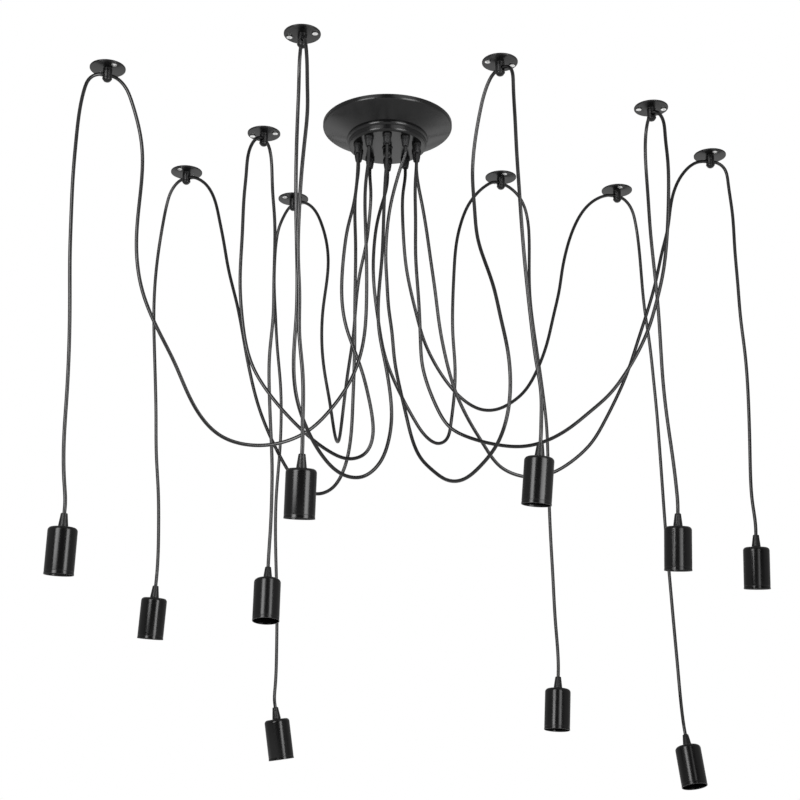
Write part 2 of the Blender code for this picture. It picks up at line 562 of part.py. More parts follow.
def make_hook(number, light, material):
    """A ceiling plate with a round-ended post below it and a level eye through the post."""
    dome_top = -PLATE_THICKNESS - POST_LENGTH + POST_RADIUS
    dome = arc((0, dome_top), POST_RADIUS, 0, -QUARTER_TURN, POST_DOME_STEPS)
    outline = [
        (0, 0),
        (PLATE_RADIUS, 0),
        (PLATE_RADIUS, -PLATE_THICKNESS + PLATE_CHAMFER),
        (PLATE_RADIUS - PLATE_CHAMFER, -PLATE_THICKNESS),
        (POST_RADIUS, -PLATE_THICKNESS),
        *dome[:-1],
        (0, dome[-1][1]),
    ]
    name = f"hook_{number:02d}"
    hook = add_object(name, finished_mesh(name, turned(outline, PLATE_SIDES), material))
    hook.location = hook_place(light)
    reach = POST_RADIUS + OVERRUN
    eye = cylinder(CORD_RADIUS + EYE_CLEARANCE, -reach, reach, SMALL_SIDES)
    bmesh.ops.rotate(eye, verts=eye.verts, matrix=quarter_about_y())
    turn = Vector((1, 0, 0)).rotation_difference(heading_vector(light["heading"])).to_matrix()
    bmesh.ops.rotate(eye, verts=eye.verts, matrix=turn)
    cuts = [moved(eye, (0, 0, -EYE_DEPTH))]
    for side in (-1, 1):
        hole = cylinder(PLATE_SCREW_HOLE_RADIUS, -PLATE_THICKNESS - OVERRUN, OVERRUN, SMALL_SIDES)
        cuts.append(moved(hole, heading_vector(light["screws"]) * side * PLATE_SCREW_SPACING / 2))
    combine(hook, merged(cuts), "DIFFERENCE")


def hook_place(light):
    across, away = light["place_shares"]
    return Vector((across, away, 0)) * CEILING_REACH


def heading_vector(degrees):
    angle = math.radians(degrees)
    return Vector((math.cos(angle), math.sin(angle), 0))


def down_vector(light):
    """The way down along a lamp that leans and tips."""
    lean = math.radians(light["lean"])
    tip = math.radians(light["tip"])
    return Vector((math.sin(lean) * math.cos(tip), math.sin(tip), -math.cos(lean) * math.cos(tip)))


def smooth_path(points, start_way, end_way):
    """A clamped cubic spline through the points, as fine points a small step apart."""
    points = np.array([tuple(point) for point in points])
    gaps = np.linalg.norm(np.diff(points, axis=0), axis=1)
    count = len(points)
    system = np.zeros((count, count))
    wanted = np.zeros((count, 3))
    system[0, 0] = 1
    system[-1, -1] = 1
    wanted[0] = start_way
    wanted[-1] = end_way
    for i in range(1, count - 1):
        before = gaps[i - 1]
        after = gaps[i]
        system[i, i - 1 : i + 2] = (after, 2 * (before + after), before)
        rise_before = (points[i] - points[i - 1]) / before
        rise_after = (points[i + 1] - points[i]) / after
        wanted[i] = 3 * (after * rise_before + before * rise_after)
    slopes = np.linalg.solve(system, wanted)
    pieces = []
    for i, gap in enumerate(gaps):
        s = np.linspace(0, 1, max(math.ceil(gap / FINE_STEP), 2), endpoint=False)[:, None]
        from_start = (1 + 2 * s) * (1 - s) ** 2 * points[i] + s * (1 - s) ** 2 * gap * slopes[i]
        to_end = s**2 * (3 - 2 * s) * points[i + 1] + s**2 * (s - 1) * gap * slopes[i + 1]
        pieces.append(from_start + to_end)
    return np.concatenate(pieces + [points[-1:]])


def thinned(path):
    """The fine points that keep the path's shape: closer together where it bends."""
    steps = np.diff(path, axis=0)
    lengths = np.linalg.norm(steps, axis=1)
    ways = steps / lengths[:, None]
    along = np.concatenate([[0], np.cumsum(lengths)])
    kept = [0, 1]
    last = len(path) - 1
    while kept[-1] < last - 1:
        start = kept[-1]
        end = start + 1
        while end < last - 1:
            turn = math.acos(min(1, ways[start] @ ways[end]))
            run = along[end + 1] - along[start]
            sag = run / 2 * math.tan(turn / 4)
            if math.degrees(turn) > MOST_TURN_ANGLE or sag > MOST_SAG or run > MOST_RUN:
                break
            end += 1
        kept.append(end)
    return path[kept + [last]]


def make_cord(name, path, origin, material):
    """A round cord along a path, with its points kept relative to the origin given."""
    stations = thinned(path) - np.array(origin)
    curve = bpy.data.curves.new(name, "CURVE")
    curve.dimensions = "3D"
    curve.bevel_depth = CORD_RADIUS
    curve.bevel_resolution = CORD_BEVEL_RESOLUTION
    curve.use_fill_caps = True
    spline = curve.splines.new("POLY")
    spline.points.add(len(stations) - 1)
    for point, place in zip(spline.points, stations):
        point.co = (*place, 1)
    length = np.linalg.norm(np.diff(path, axis=0), axis=1).sum()
    print(f"{name}: {length:.3f} m, {len(stations)} points")
    curve.materials.append(material)
    return add_object(name, curve)


def make_loop(number, light, material):
    """The stretch of cord from the gland to the middle of the eye."""
    exit_depth = CANOPY_DEPTH + GLAND_LENGTH + GAP
    start = gland_places()[light["gland"]] - Vector((0, 0, exit_depth))
    eye = hook_place(light) - Vector((0, 0, EYE_DEPTH))
    way = heading_vector(light["heading"])
    points = [
        start,
        start - Vector((0, 0, GLAND_LEAD)),
        *LOOP_POINTS[number],
        eye - way * EYE_LEAD,
        eye - way * GAP / 2,
    ]
    path = smooth_path(points, (0, 0, -1), way)
    make_cord(f"loop_cord_{number:02d}", path, (0, 0, 0), material)


def make_swing(number, light):
    """The empty that carries a lamp and its hanging cord, on the axis through the eye."""
    swing = add_object(f"swing_{number:02d}", None)
    swing.location = hook_place(light) - Vector((0, 0, EYE_DEPTH))
    return swing


def make_drop(number, light, swing, material):
    """The stretch of cord from the middle of the eye to the top of the lamp."""
    way = heading_vector(light["heading"])
    down = down_vector(light)
    lamp_top = Vector(DROP_POINTS[number][-1])
    points = [
        swing.location + way * GAP / 2,
        swing.location + way * EYE_LEAD,
        *DROP_POINTS[number][:-1],
        lamp_top - down * LAMP_LEAD,
        lamp_top - down * GAP,
    ]
    path = smooth_path(points, way, down)
    cord = make_cord(f"drop_cord_{number:02d}", path, swing.location, material)
    cord.parent = swing


def shell_outline():
    """The section of an open shell with a round shoulder, from its top hole out, down and back."""
    hole = NIPPLE_RADIUS + GAP
    top = -CONE_HEIGHT
    foot = top - LAMP_HEIGHT
    centre = (LAMP_RADIUS - LAMP_SHOULDER_RADIUS, top - LAMP_SHOULDER_RADIUS)
    outside = arc(centre, LAMP_SHOULDER_RADIUS, QUARTER_TURN, 0, SHOULDER_STEPS)
    inside = arc(centre, LAMP_SHOULDER_RADIUS - LAMP_WALL, 0, QUARTER_TURN, SHOULDER_STEPS)
    lip = [
        (LAMP_RADIUS, foot + LAMP_LIP_HEIGHT),
        (LAMP_RADIUS + LAMP_LIP_FLARE, foot),
        (LAMP_RADIUS + LAMP_LIP_FLARE - LAMP_WALL, foot),
        (LAMP_RADIUS - LAMP_WALL, foot + LAMP_LIP_HEIGHT),
    ]
    return [(hole, top), *outside, *lip, *inside, (hole, top - LAMP_WALL)]


def holder_outline():
    """Cone, nipple and insert with its socket in one section, from the cord's entry down."""
    cone_foot = -CONE_HEIGHT + GAP
    insert_top = -CONE_HEIGHT - LAMP_WALL - GAP
    insert_foot = insert_top - INSERT_HEIGHT
    insert_radius = LAMP_RADIUS - LAMP_WALL - INSERT_CLEARANCE
    socket_top = insert_foot + SOCKET_DEPTH
    return [
        (0, 0),
        (CONE_TIP_RADIUS - CONE_TIP_ROUND, 0),
        (CONE_TIP_RADIUS, -CONE_TIP_ROUND),
        (CONE_BASE_RADIUS, cone_foot + CONE_FOOT),
        (CONE_BASE_RADIUS, cone_foot),
        (NIPPLE_RADIUS, cone_foot),
        (NIPPLE_RADIUS, insert_top),
        (insert_radius - INSERT_CHAMFER, insert_top),
        (insert_radius, insert_top - INSERT_CHAMFER),
        (insert_radius, insert_foot),
        (SOCKET_RADIUS, insert_foot),
        (SOCKET_RADIUS, socket_top),
        (CONTACT_RADIUS, socket_top),
        (CONTACT_RADIUS, socket_top - CONTACT_HEIGHT),
        (0, socket_top - CONTACT_HEIGHT),
    ]


def make_lamp(number, light, swing, shell_mesh, holder_mesh):
    """A shell and a lampholder at the end of their cord."""
    for name, mesh in (("lamp_shell", shell_mesh), ("lampholder", holder_mesh)):
        item = add_object(f"{name}_{number:02d}", mesh)
        item.parent = swing
        item.location = Vector(DROP_POINTS[number][-1]) - swing.location
        item.rotation_mode = "QUATERNION"
        item.rotation_quaternion = Vector((0, 0, -1)).rotation_difference(down_vector(light))


def build():
    for item in list(bpy.data.objects):
        bpy.data.objects.remove(item)
    canopy_black = make_material("canopy_black", (0.02, 0.02, 0.022), 0.42, 0.6)
    hook_black = make_material("hook_black", (0.018, 0.018, 0.02), 0.45, 0.6)
    cord_black = make_material("cord_black", (0.015, 0.015, 0.016), 0.6, 0)
    shell_black = make_material("shell_black", (0.018, 0.018, 0.019), 0.38, 0.6)
    holder_black = make_material("holder_black", (0.02, 0.02, 0.021), 0.5, 0)
    zinc = make_material("zinc_steel", (0.6, 0.6, 0.58), 0.35, 1)
    brass = make_material("brass", (0.6, 0.45, 0.2), 0.35, 1)
    block_white = make_material("block_white", (0.75, 0.75, 0.72), 0.5, 0)

    make_canopy(canopy_black)
    make_mounting(zinc, brass, block_white)
    make_finial(canopy_black)
    shell = turned(shell_outline(), SHELL_SIDES, closed=True)
    shell_mesh = finished_mesh("lamp_shell", shell, shell_black)
    holder_mesh = finished_mesh("lampholder", turned(holder_outline(), HOLDER_SIDES), holder_black)
    for number, light in LIGHT_TABLE.items():
        make_hook(number, light, hook_black)
        make_loop(number, light, cord_black)
        swing = make_swing(number, light)
        make_drop(number, light, swing, cord_black)
        make_lamp(number, light, swing, shell_mesh, holder_mesh)


build()
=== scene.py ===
import math

import bmesh
import bpy
import numpy as np
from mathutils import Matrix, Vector


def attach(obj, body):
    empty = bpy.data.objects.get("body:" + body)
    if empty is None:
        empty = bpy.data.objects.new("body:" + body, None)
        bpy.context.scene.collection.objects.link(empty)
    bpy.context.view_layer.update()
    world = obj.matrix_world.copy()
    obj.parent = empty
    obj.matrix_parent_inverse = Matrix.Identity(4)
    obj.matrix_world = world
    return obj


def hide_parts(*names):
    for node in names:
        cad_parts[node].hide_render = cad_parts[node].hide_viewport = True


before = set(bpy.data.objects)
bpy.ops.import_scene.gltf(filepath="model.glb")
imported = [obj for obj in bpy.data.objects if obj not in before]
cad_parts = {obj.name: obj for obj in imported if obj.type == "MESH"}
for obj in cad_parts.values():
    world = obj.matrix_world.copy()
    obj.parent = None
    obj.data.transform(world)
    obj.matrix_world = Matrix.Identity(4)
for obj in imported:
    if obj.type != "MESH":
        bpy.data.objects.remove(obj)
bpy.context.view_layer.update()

# Lengths in metres, angles in degrees. The ceiling is at height 0 and the canopy's middle at the origin.
TOUCH = 0.0003
THIN = 0.00005
MERGE = 0.0000005
SHARP_ANGLE = 38
NEARLY_STRAIGHT = 176
FILLET_SHARE = 0.49

# Usual fillets of edges, and the share to which the finish on them is worn
FINE_EDGE = 0.0002
EDGE = 0.0003
SOFT_EDGE = 0.0004
ROUND_EDGE = 0.0006
FULL_EDGE = 0.0007
BROAD_EDGE = 0.0009
WORN = 0.5
RUBBED = 0.6

# Canopy
CANOPY_RADIUS = 0.107
CANOPY_DEPTH = 0.043
SHEET = 0.0012
RIM_HEIGHT = 0.01
RIM_EDGE_RADIUS = 0.0045
RIM_EDGE_END = -62
RIM_BEVEL = 0.0004
BEAD_HEIGHT = 0.0028
BEAD_ROUND = 0.0045
BEAD_RISE = 0.0145
BEAD_START = 34
DRUM_RADIUS = 0.0648
DRUM_EDGE_RADIUS = 0.0048

# Cord glands in the canopy's face
GLAND_COUNT = 10
GLAND_RING_RADIUS = 0.0505
GLAND_NUT_RADIUS = 0.00775
GLAND_NUT_HEIGHT = 0.0045
GLAND_LOCK_RADIUS = 0.007
GLAND_LOCK_HEIGHT = 0.003
GLAND_STEM_RADIUS = 0.0052
GLAND_STEM_END = 0.0012
GLAND_NECK_RADIUS = 0.0066
GLAND_GROOVE_TOP = 0.0036
GLAND_GROOVE_MIDDLE = 0.004
GLAND_GROOVE_FOOT = 0.0046
GLAND_GROOVE_DEPTH = 0.0004
GLAND_TIP_RADIUS = 0.005
GLAND_LENGTH = 0.0175
FIRST_GLAND_ANGLE = -90

# Mounting behind the canopy, and the finial
BAR_THICKNESS = 0.0025
BOSS_HEIGHT = 0.007
ROD_RADIUS = 0.0048
ROD_PITCH = 0.001
ROD_ROWS_PER_TURN = 5
ROD_THREAD_WAVE = 0.0003
ROD_CLEARANCE = 0.0004
LOCK_NUT_RADIUS = 0.0085
LOCK_NUT_HEIGHT = 0.005
NUT_BORE_EDGE = 0.0004
FINIAL_FLANGE_RADIUS = 0.0088
FINIAL_FLANGE_HEIGHT = 0.0015
FINIAL_RADIUS = 0.0075
FINIAL_HEIGHT = 0.017
FINIAL_NECK = 0.0002
FINIAL_NECK_EDGE = 0.0005
FINIAL_DOME_LEAD = 0.0005
FINIAL_BORE_DEPTH = 0.0095
EARTH_SCREW_OFFSET = 0.022
EARTH_HEAD_RADIUS = 0.004
EARTH_HEAD_HEIGHT = 0.0025
EARTH_SHANK_RADIUS = 0.002
EARTH_RECESS_WIDTH = 0.0009

# Cross recess of every screw, as shares of the head's radius and height
RECESS_REACH = 0.5
RECESS_DEPTH = 0.2
RECESS_TAPER = 0.45
RECESS_EDGE = 0.00012
HEAD_RIM_SHARE = 0.8
HEAD_BEVEL = 0.0002

# Ceiling hooks
CEILING_REACH = 0.5
PLATE_RADIUS = 0.0275
PLATE_THICKNESS = 0.0025
POST_RADIUS = 0.0071
POST_LENGTH = 0.022
CLAMP_HEIGHT = 0.0065
CLAMP_COLLAR_RADIUS = 0.0075
CLAMP_COLLAR_HEIGHT = 0.0014
CLAMP_DOME_SHARE = 0.93
CLAMP_SHANK_RADIUS = 0.003
CLAMP_BORE_DEPTH = 0.004
KNURL_RIBS = 36
KNURL_WAVE = 0.00009
EYE_DEPTH = 0.013
EYE_RADIUS = 0.004
EYE_OVERRUN = 0.004
BORE_SIDES = 40
PLATE_SCREW_SPACING = 0.04
PLATE_HOLE_RADIUS = 0.0022
PLATE_HOLE_OVERRUN = 0.002
PLATE_SINK_RADIUS = 0.0052
PLATE_SINK_DEPTH = 0.0008
PLATE_SINK_OVERRUN = 0.003
PLATE_SCREW_RADIUS = 0.0045
PLATE_SCREW_HEIGHT = 0.0027
PLATE_SCREW_SHANK = 0.0019
PLATE_RECESS_WIDTH = 0.0008

# Cords
CORD_RADIUS = 0.00275
CORD_SIDES = 20
CORD_HOLE_RADIUS = CORD_RADIUS + 0.0001
CORD_HOLE_DEPTH = 0.009
GLAND_LEAD = 0.01
EYE_LEAD = 0.008
LAMP_LEAD = 0.01
ENTRY = 0.005
PATH_STEP = 0.003

# Lamps: shell, cable cone, insert and socket
LAMP_RADIUS = 0.021
LAMP_HEIGHT = 0.067
LAMP_WALL = 0.0012
LAMP_SHOULDER_RADIUS = 0.0055
LAMP_LIP_HEIGHT = 0.003
LAMP_LIP_FLARE = 0.0003
LAMP_LIP_EDGE = 0.00035
LAMP_GROOVE_RISE = 0.0022
LAMP_GROOVE_DROP = 0.0005
LAMP_GROOVE_DEPTH = 0.00018
CONE_HEIGHT = 0.02
CONE_BASE_RADIUS = 0.00715
CONE_TIP_RADIUS = 0.00475
CONE_TIP_ROUND = 0.0013
CONE_FOOT = 0.0015
NIPPLE_RADIUS = 0.005
INSERT_CLEARANCE = 0.001
INSERT_CHAMFER = 0.005
INSERT_HEIGHT = 0.045
INSERT_TOP = -CONE_HEIGHT - LAMP_WALL - TOUCH * 2
INSERT_FOOT = INSERT_TOP - INSERT_HEIGHT + TOUCH
SOCKET_RADIUS = 0.0139
SOCKET_DEPTH = 0.026
SOCKET_EDGE = 0.0008
SOCKET_TOP = INSERT_FOOT + SOCKET_DEPTH
SLEEVE_RADIUS = 0.0131
SLEEVE_WALL = 0.00035
SLEEVE_PITCH = 0.0036
SLEEVE_WAVE = 0.0004
SLEEVE_RISE = 0.0025
SLEEVE_LENGTH = 0.021
SLEEVE_ROWS = 57
CONTACT_RADIUS = 0.004
CONTACT_HEIGHT = 0.002
CONTACT_EDGE = 0.0012

# The studio. Levels are shares of the white that the camera sees.
FLOOR_HEIGHT = -2.4
FLOOR_SIZE = 24
FLOOR_TONE = 0.86
FLOOR_LEVEL = 0.55
FLOOR_FAR_GAIN = 0.35
FLOOR_END_LOSS = 0.25
ROOM_LEVEL = 0.05
ROOM_SIDE_GAIN = 0.24
ROOM_LOW_GAIN = 0.4
FILL_LEVEL = 0.45

# The soft lights in front: place, the point each faces, width and height, spread in degrees, power in watts
SOFT_BOXES = {
    "left_box": ((-1.0, -1.5, -0.15), (0.05, 0.0, -0.5), (0.75, 1.2), 90, 4.5),
    "right_box": ((0.67, -0.9, -0.45), (-0.37, 0.06, -0.45), (0.5, 1.3), 100, 3.5),
    "left_high_box": ((-0.9, -1.56, 0.52), (0, 0, 0), (1.2, 1.0), 70, 0.65),
    "right_high_box": ((0.56, -0.97, 0.33), (0, 0, 0), (0.8, 0.64), 70, 0.29),
}

# The camera, at the photograph's place below and in front of the lamps
CAMERA_PLACE = (0.0208, -2.3336, -1.19)
CAMERA_PITCH = 106.945
CAMERA_LENS = 69.78

# Each light: its hook's place as shares of CEILING_REACH, the heading in which its cord leaves the eye,
# the heading of its plate screws, its gland's number round the ring, how far its lamp leans towards +X
# and how far it tips towards +Y.
LIGHTS = {
    1: dict(place=(-0.862, -0.380), heading=204, screws=-51, gland=9, lean=-2.5, tip=4),
    2: dict(place=(-0.716, 0.364), heading=152, screws=-116, gland=7, lean=-4.3, tip=5.5),
    3: dict(place=(-0.416, 0.062), heading=63, screws=-14, gland=8, lean=-0.5, tip=-7),
    4: dict(place=(-0.248, -0.586), heading=-78, screws=-15, gland=0, lean=-2, tip=9),
    5: dict(place=(-0.352, 0.592), heading=128, screws=-136, gland=6, lean=7.8, tip=5),
    6: dict(place=(0.348, -0.418), heading=-49, screws=17, gland=1, lean=-4.7, tip=5),
    7: dict(place=(0.402, 0.406), heading=37, screws=-74, gland=5, lean=-3.2, tip=-3),
    8: dict(place=(0.832, 0.518), heading=29, screws=-81, gland=4, lean=5.1, tip=-12),
    9: dict(place=(0.858, -0.120), heading=103, screws=-1, gland=2, lean=-1.4, tip=7),
    10: dict(place=(1.116, 0.230), heading=11, screws=-77, gland=3, lean=-0.8, tip=7),
}

# The cord loops from the gland to the eye, in metres. The points follow the cords as traced on the
# photograph and set in depth with the fitted camera. Some are kept as traced, the others set one by one.
LOOP_POINTS = {
    1: [
        (-0.034, -0.042, -0.12), (-0.034, -0.043, -0.21), (-0.032, -0.042, -0.33), (-0.037, -0.044, -0.4),
        (-0.054, -0.05, -0.459), (-0.084, -0.061, -0.511), (-0.118, -0.074, -0.55), (-0.155, -0.088, -0.572),
        (-0.2, -0.104, -0.581), (-0.247, -0.122, -0.57), (-0.281, -0.134, -0.534), (-0.314, -0.146, -0.466),
        (-0.339, -0.156, -0.418), (-0.364, -0.165, -0.359), (-0.376, -0.17, -0.28), (-0.374, -0.169, -0.2),
        (-0.376, -0.17, -0.12), (-0.383, -0.173, -0.086), (-0.394, -0.177, -0.05), (-0.407, -0.181, -0.024),
    ],
    2: [
        (-0.052, 0.018, -0.11), (-0.052, 0.018, -0.2), (-0.052, 0.018, -0.3), (-0.052, 0.018, -0.4),
        (-0.054, 0.019, -0.48), (-0.058, 0.021, -0.545), (-0.069, 0.027, -0.589), (-0.085, 0.036, -0.612),
        (-0.108, 0.048, -0.619), (-0.138, 0.064, -0.602), (-0.162, 0.077, -0.568), (-0.187, 0.09, -0.519),
        (-0.211, 0.103, -0.459), (-0.226, 0.111, -0.405), (-0.238, 0.117, -0.35), (-0.255, 0.127, -0.27),
        (-0.272, 0.136, -0.205), (-0.283, 0.142, -0.15), (-0.293, 0.147, -0.104), (-0.302, 0.152, -0.069),
        (-0.315, 0.159, -0.041), (-0.333, 0.169, -0.021),
    ],
    3: [
        (-0.05, -0.016, -0.117), (-0.055, -0.016, -0.154), (-0.063, -0.017, -0.19), (-0.069, -0.017, -0.234),
        (-0.072, -0.017, -0.278), (-0.071, -0.018, -0.325), (-0.063, -0.018, -0.368), (-0.05, -0.017, -0.405),
        (-0.038, -0.016, -0.44), (-0.029, -0.016, -0.476), (-0.022, -0.015, -0.515), (-0.022, -0.014, -0.545),
        (-0.034, -0.013, -0.57), (-0.055, -0.013, -0.578), (-0.087, -0.012, -0.567), (-0.133, -0.011, -0.53),
        (-0.184, -0.01, -0.472), (-0.212, -0.009, -0.425), (-0.23, -0.008, -0.35), (-0.236, -0.007, -0.28),
        (-0.235, -0.006, -0.2), (-0.234, -0.005, -0.13), (-0.232, -0.003, -0.09), (-0.23, -0.001, -0.056),
        (-0.223, 0.006, -0.029),
    ],
    4: [
        (-0.002, -0.05, -0.11), (-0.005, -0.051, -0.18), (-0.008, -0.055, -0.265), (-0.013, -0.06, -0.335),
        (-0.011, -0.064, -0.39), (-0.003, -0.069, -0.435), (0.005, -0.075, -0.485), (0.008, -0.08, -0.53),
        (0.003, -0.088, -0.572), (-0.012, -0.101, -0.611), (-0.035, -0.114, -0.632), (-0.064, -0.134, -0.633),
        (-0.092, -0.161, -0.612), (-0.113, -0.192, -0.58), (-0.127, -0.218, -0.54), (-0.131, -0.232, -0.495),
        (-0.128, -0.241, -0.43), (-0.128, -0.245, -0.35), (-0.131, -0.249, -0.265), (-0.132, -0.252, -0.185),
        (-0.131, -0.255, -0.11), (-0.13, -0.259, -0.062), (-0.129, -0.267, -0.027),
    ],
    5: [
        (-0.028, 0.041, -0.1), (-0.03, 0.045, -0.148), (-0.036, 0.055, -0.195), (-0.045, 0.066, -0.235),
        (-0.052, 0.08, -0.285), (-0.057, 0.097, -0.34), (-0.065, 0.116, -0.39), (-0.071, 0.131, -0.432),
        (-0.076, 0.144, -0.472), (-0.082, 0.169, -0.499), (-0.088, 0.195, -0.487), (-0.095, 0.209, -0.448),
        (-0.102, 0.216, -0.405), (-0.11, 0.221, -0.36), (-0.115, 0.225, -0.315), (-0.116, 0.228, -0.27),
        (-0.114, 0.23, -0.235), (-0.109, 0.232, -0.19), (-0.107, 0.234, -0.148), (-0.112, 0.238, -0.105),
        (-0.121, 0.243, -0.072), (-0.134, 0.253, -0.042), (-0.152, 0.269, -0.021),
    ],
    6: [
        (0.025, -0.037, -0.086), (0.016, -0.031, -0.114), (0.006, -0.026, -0.155), (0, -0.024, -0.2),
        (-0.002, -0.022, -0.245), (0, -0.022, -0.29), (0.003, -0.024, -0.335), (0.008, -0.027, -0.375),
        (0.012, -0.03, -0.42), (0.019, -0.036, -0.463), (0.031, -0.047, -0.521), (0.04, -0.055, -0.56),
        (0.052, -0.068, -0.591), (0.07, -0.088, -0.616), (0.09, -0.111, -0.636), (0.114, -0.14, -0.642),
        (0.138, -0.167, -0.628), (0.16, -0.192, -0.603), (0.174, -0.209, -0.565), (0.179, -0.215, -0.515),
        (0.176, -0.211, -0.465), (0.168, -0.202, -0.415), (0.159, -0.192, -0.363), (0.147, -0.178, -0.315),
        (0.138, -0.168, -0.275), (0.134, -0.162, -0.22), (0.132, -0.16, -0.17), (0.136, -0.165, -0.115),
        (0.145, -0.176, -0.064), (0.154, -0.186, -0.032),
    ],
    7: [
        (-0.002, 0.049, -0.093), (-0.01, 0.044, -0.127), (-0.018, 0.039, -0.166), (-0.022, 0.037, -0.205),
        (-0.023, 0.036, -0.245), (-0.02, 0.037, -0.29), (-0.014, 0.041, -0.335), (-0.004, 0.048, -0.388),
        (0.018, 0.064, -0.442), (0.044, 0.084, -0.487), (0.063, 0.098, -0.511), (0.082, 0.112, -0.519),
        (0.097, 0.124, -0.509), (0.105, 0.13, -0.48), (0.111, 0.135, -0.43), (0.113, 0.136, -0.38),
        (0.11, 0.134, -0.325), (0.11, 0.134, -0.275), (0.113, 0.136, -0.21), (0.118, 0.14, -0.154),
        (0.127, 0.147, -0.112), (0.139, 0.156, -0.078), (0.154, 0.167, -0.051), (0.172, 0.181, -0.028),
    ],
    8: [
        (0.026, 0.039, -0.105), (0.025, 0.038, -0.145), (0.027, 0.039, -0.193), (0.031, 0.042, -0.237),
        (0.04, 0.047, -0.285), (0.049, 0.052, -0.322), (0.06, 0.058, -0.36), (0.074, 0.066, -0.39),
        (0.09, 0.075, -0.415), (0.109, 0.086, -0.437), (0.13, 0.098, -0.453), (0.153, 0.111, -0.461),
        (0.18, 0.126, -0.457), (0.206, 0.14, -0.441), (0.231, 0.155, -0.415), (0.255, 0.168, -0.371),
        (0.272, 0.178, -0.325), (0.286, 0.186, -0.27), (0.298, 0.192, -0.22), (0.305, 0.196, -0.18),
        (0.316, 0.202, -0.134), (0.332, 0.212, -0.089), (0.352, 0.223, -0.053), (0.378, 0.238, -0.026),
    ],
    9: [
        (0.046, -0.016, -0.11), (0.046, -0.016, -0.18), (0.046, -0.016, -0.24), (0.05, -0.018, -0.31),
        (0.053, -0.022, -0.385), (0.056, -0.025, -0.43), (0.064, -0.027, -0.463), (0.078, -0.029, -0.5),
        (0.098, -0.033, -0.533), (0.125, -0.038, -0.55), (0.17, -0.044, -0.564), (0.21, -0.05, -0.568),
        (0.246, -0.056, -0.56), (0.28, -0.063, -0.542), (0.311, -0.069, -0.518), (0.339, -0.076, -0.494),
        (0.361, -0.082, -0.467), (0.384, -0.087, -0.43), (0.402, -0.09, -0.392), (0.415, -0.094, -0.352),
        (0.427, -0.098, -0.305), (0.436, -0.1, -0.245), (0.442, -0.1, -0.175), (0.444, -0.099, -0.11),
        (0.443, -0.095, -0.07), (0.44, -0.088, -0.031),
    ],
    10: [
        (0.05, 0.016, -0.095), (0.056, 0.017, -0.13), (0.064, 0.019, -0.18), (0.071, 0.02, -0.235),
        (0.078, 0.021, -0.29), (0.085, 0.023, -0.35), (0.094, 0.025, -0.4), (0.104, 0.027, -0.44),
        (0.117, 0.029, -0.476), (0.135, 0.032, -0.512), (0.155, 0.036, -0.545), (0.18, 0.041, -0.577),
        (0.203, 0.046, -0.588), (0.235, 0.052, -0.591), (0.266, 0.058, -0.581), (0.3, 0.065, -0.558),
        (0.328, 0.07, -0.53), (0.35, 0.075, -0.495), (0.372, 0.079, -0.453), (0.393, 0.083, -0.407),
        (0.413, 0.087, -0.352), (0.433, 0.091, -0.295), (0.45, 0.094, -0.24), (0.464, 0.097, -0.185),
        (0.475, 0.099, -0.145), (0.483, 0.1, -0.1), (0.494, 0.103, -0.064), (0.513, 0.106, -0.033),
        (0.535, 0.11, -0.016),
    ],
}

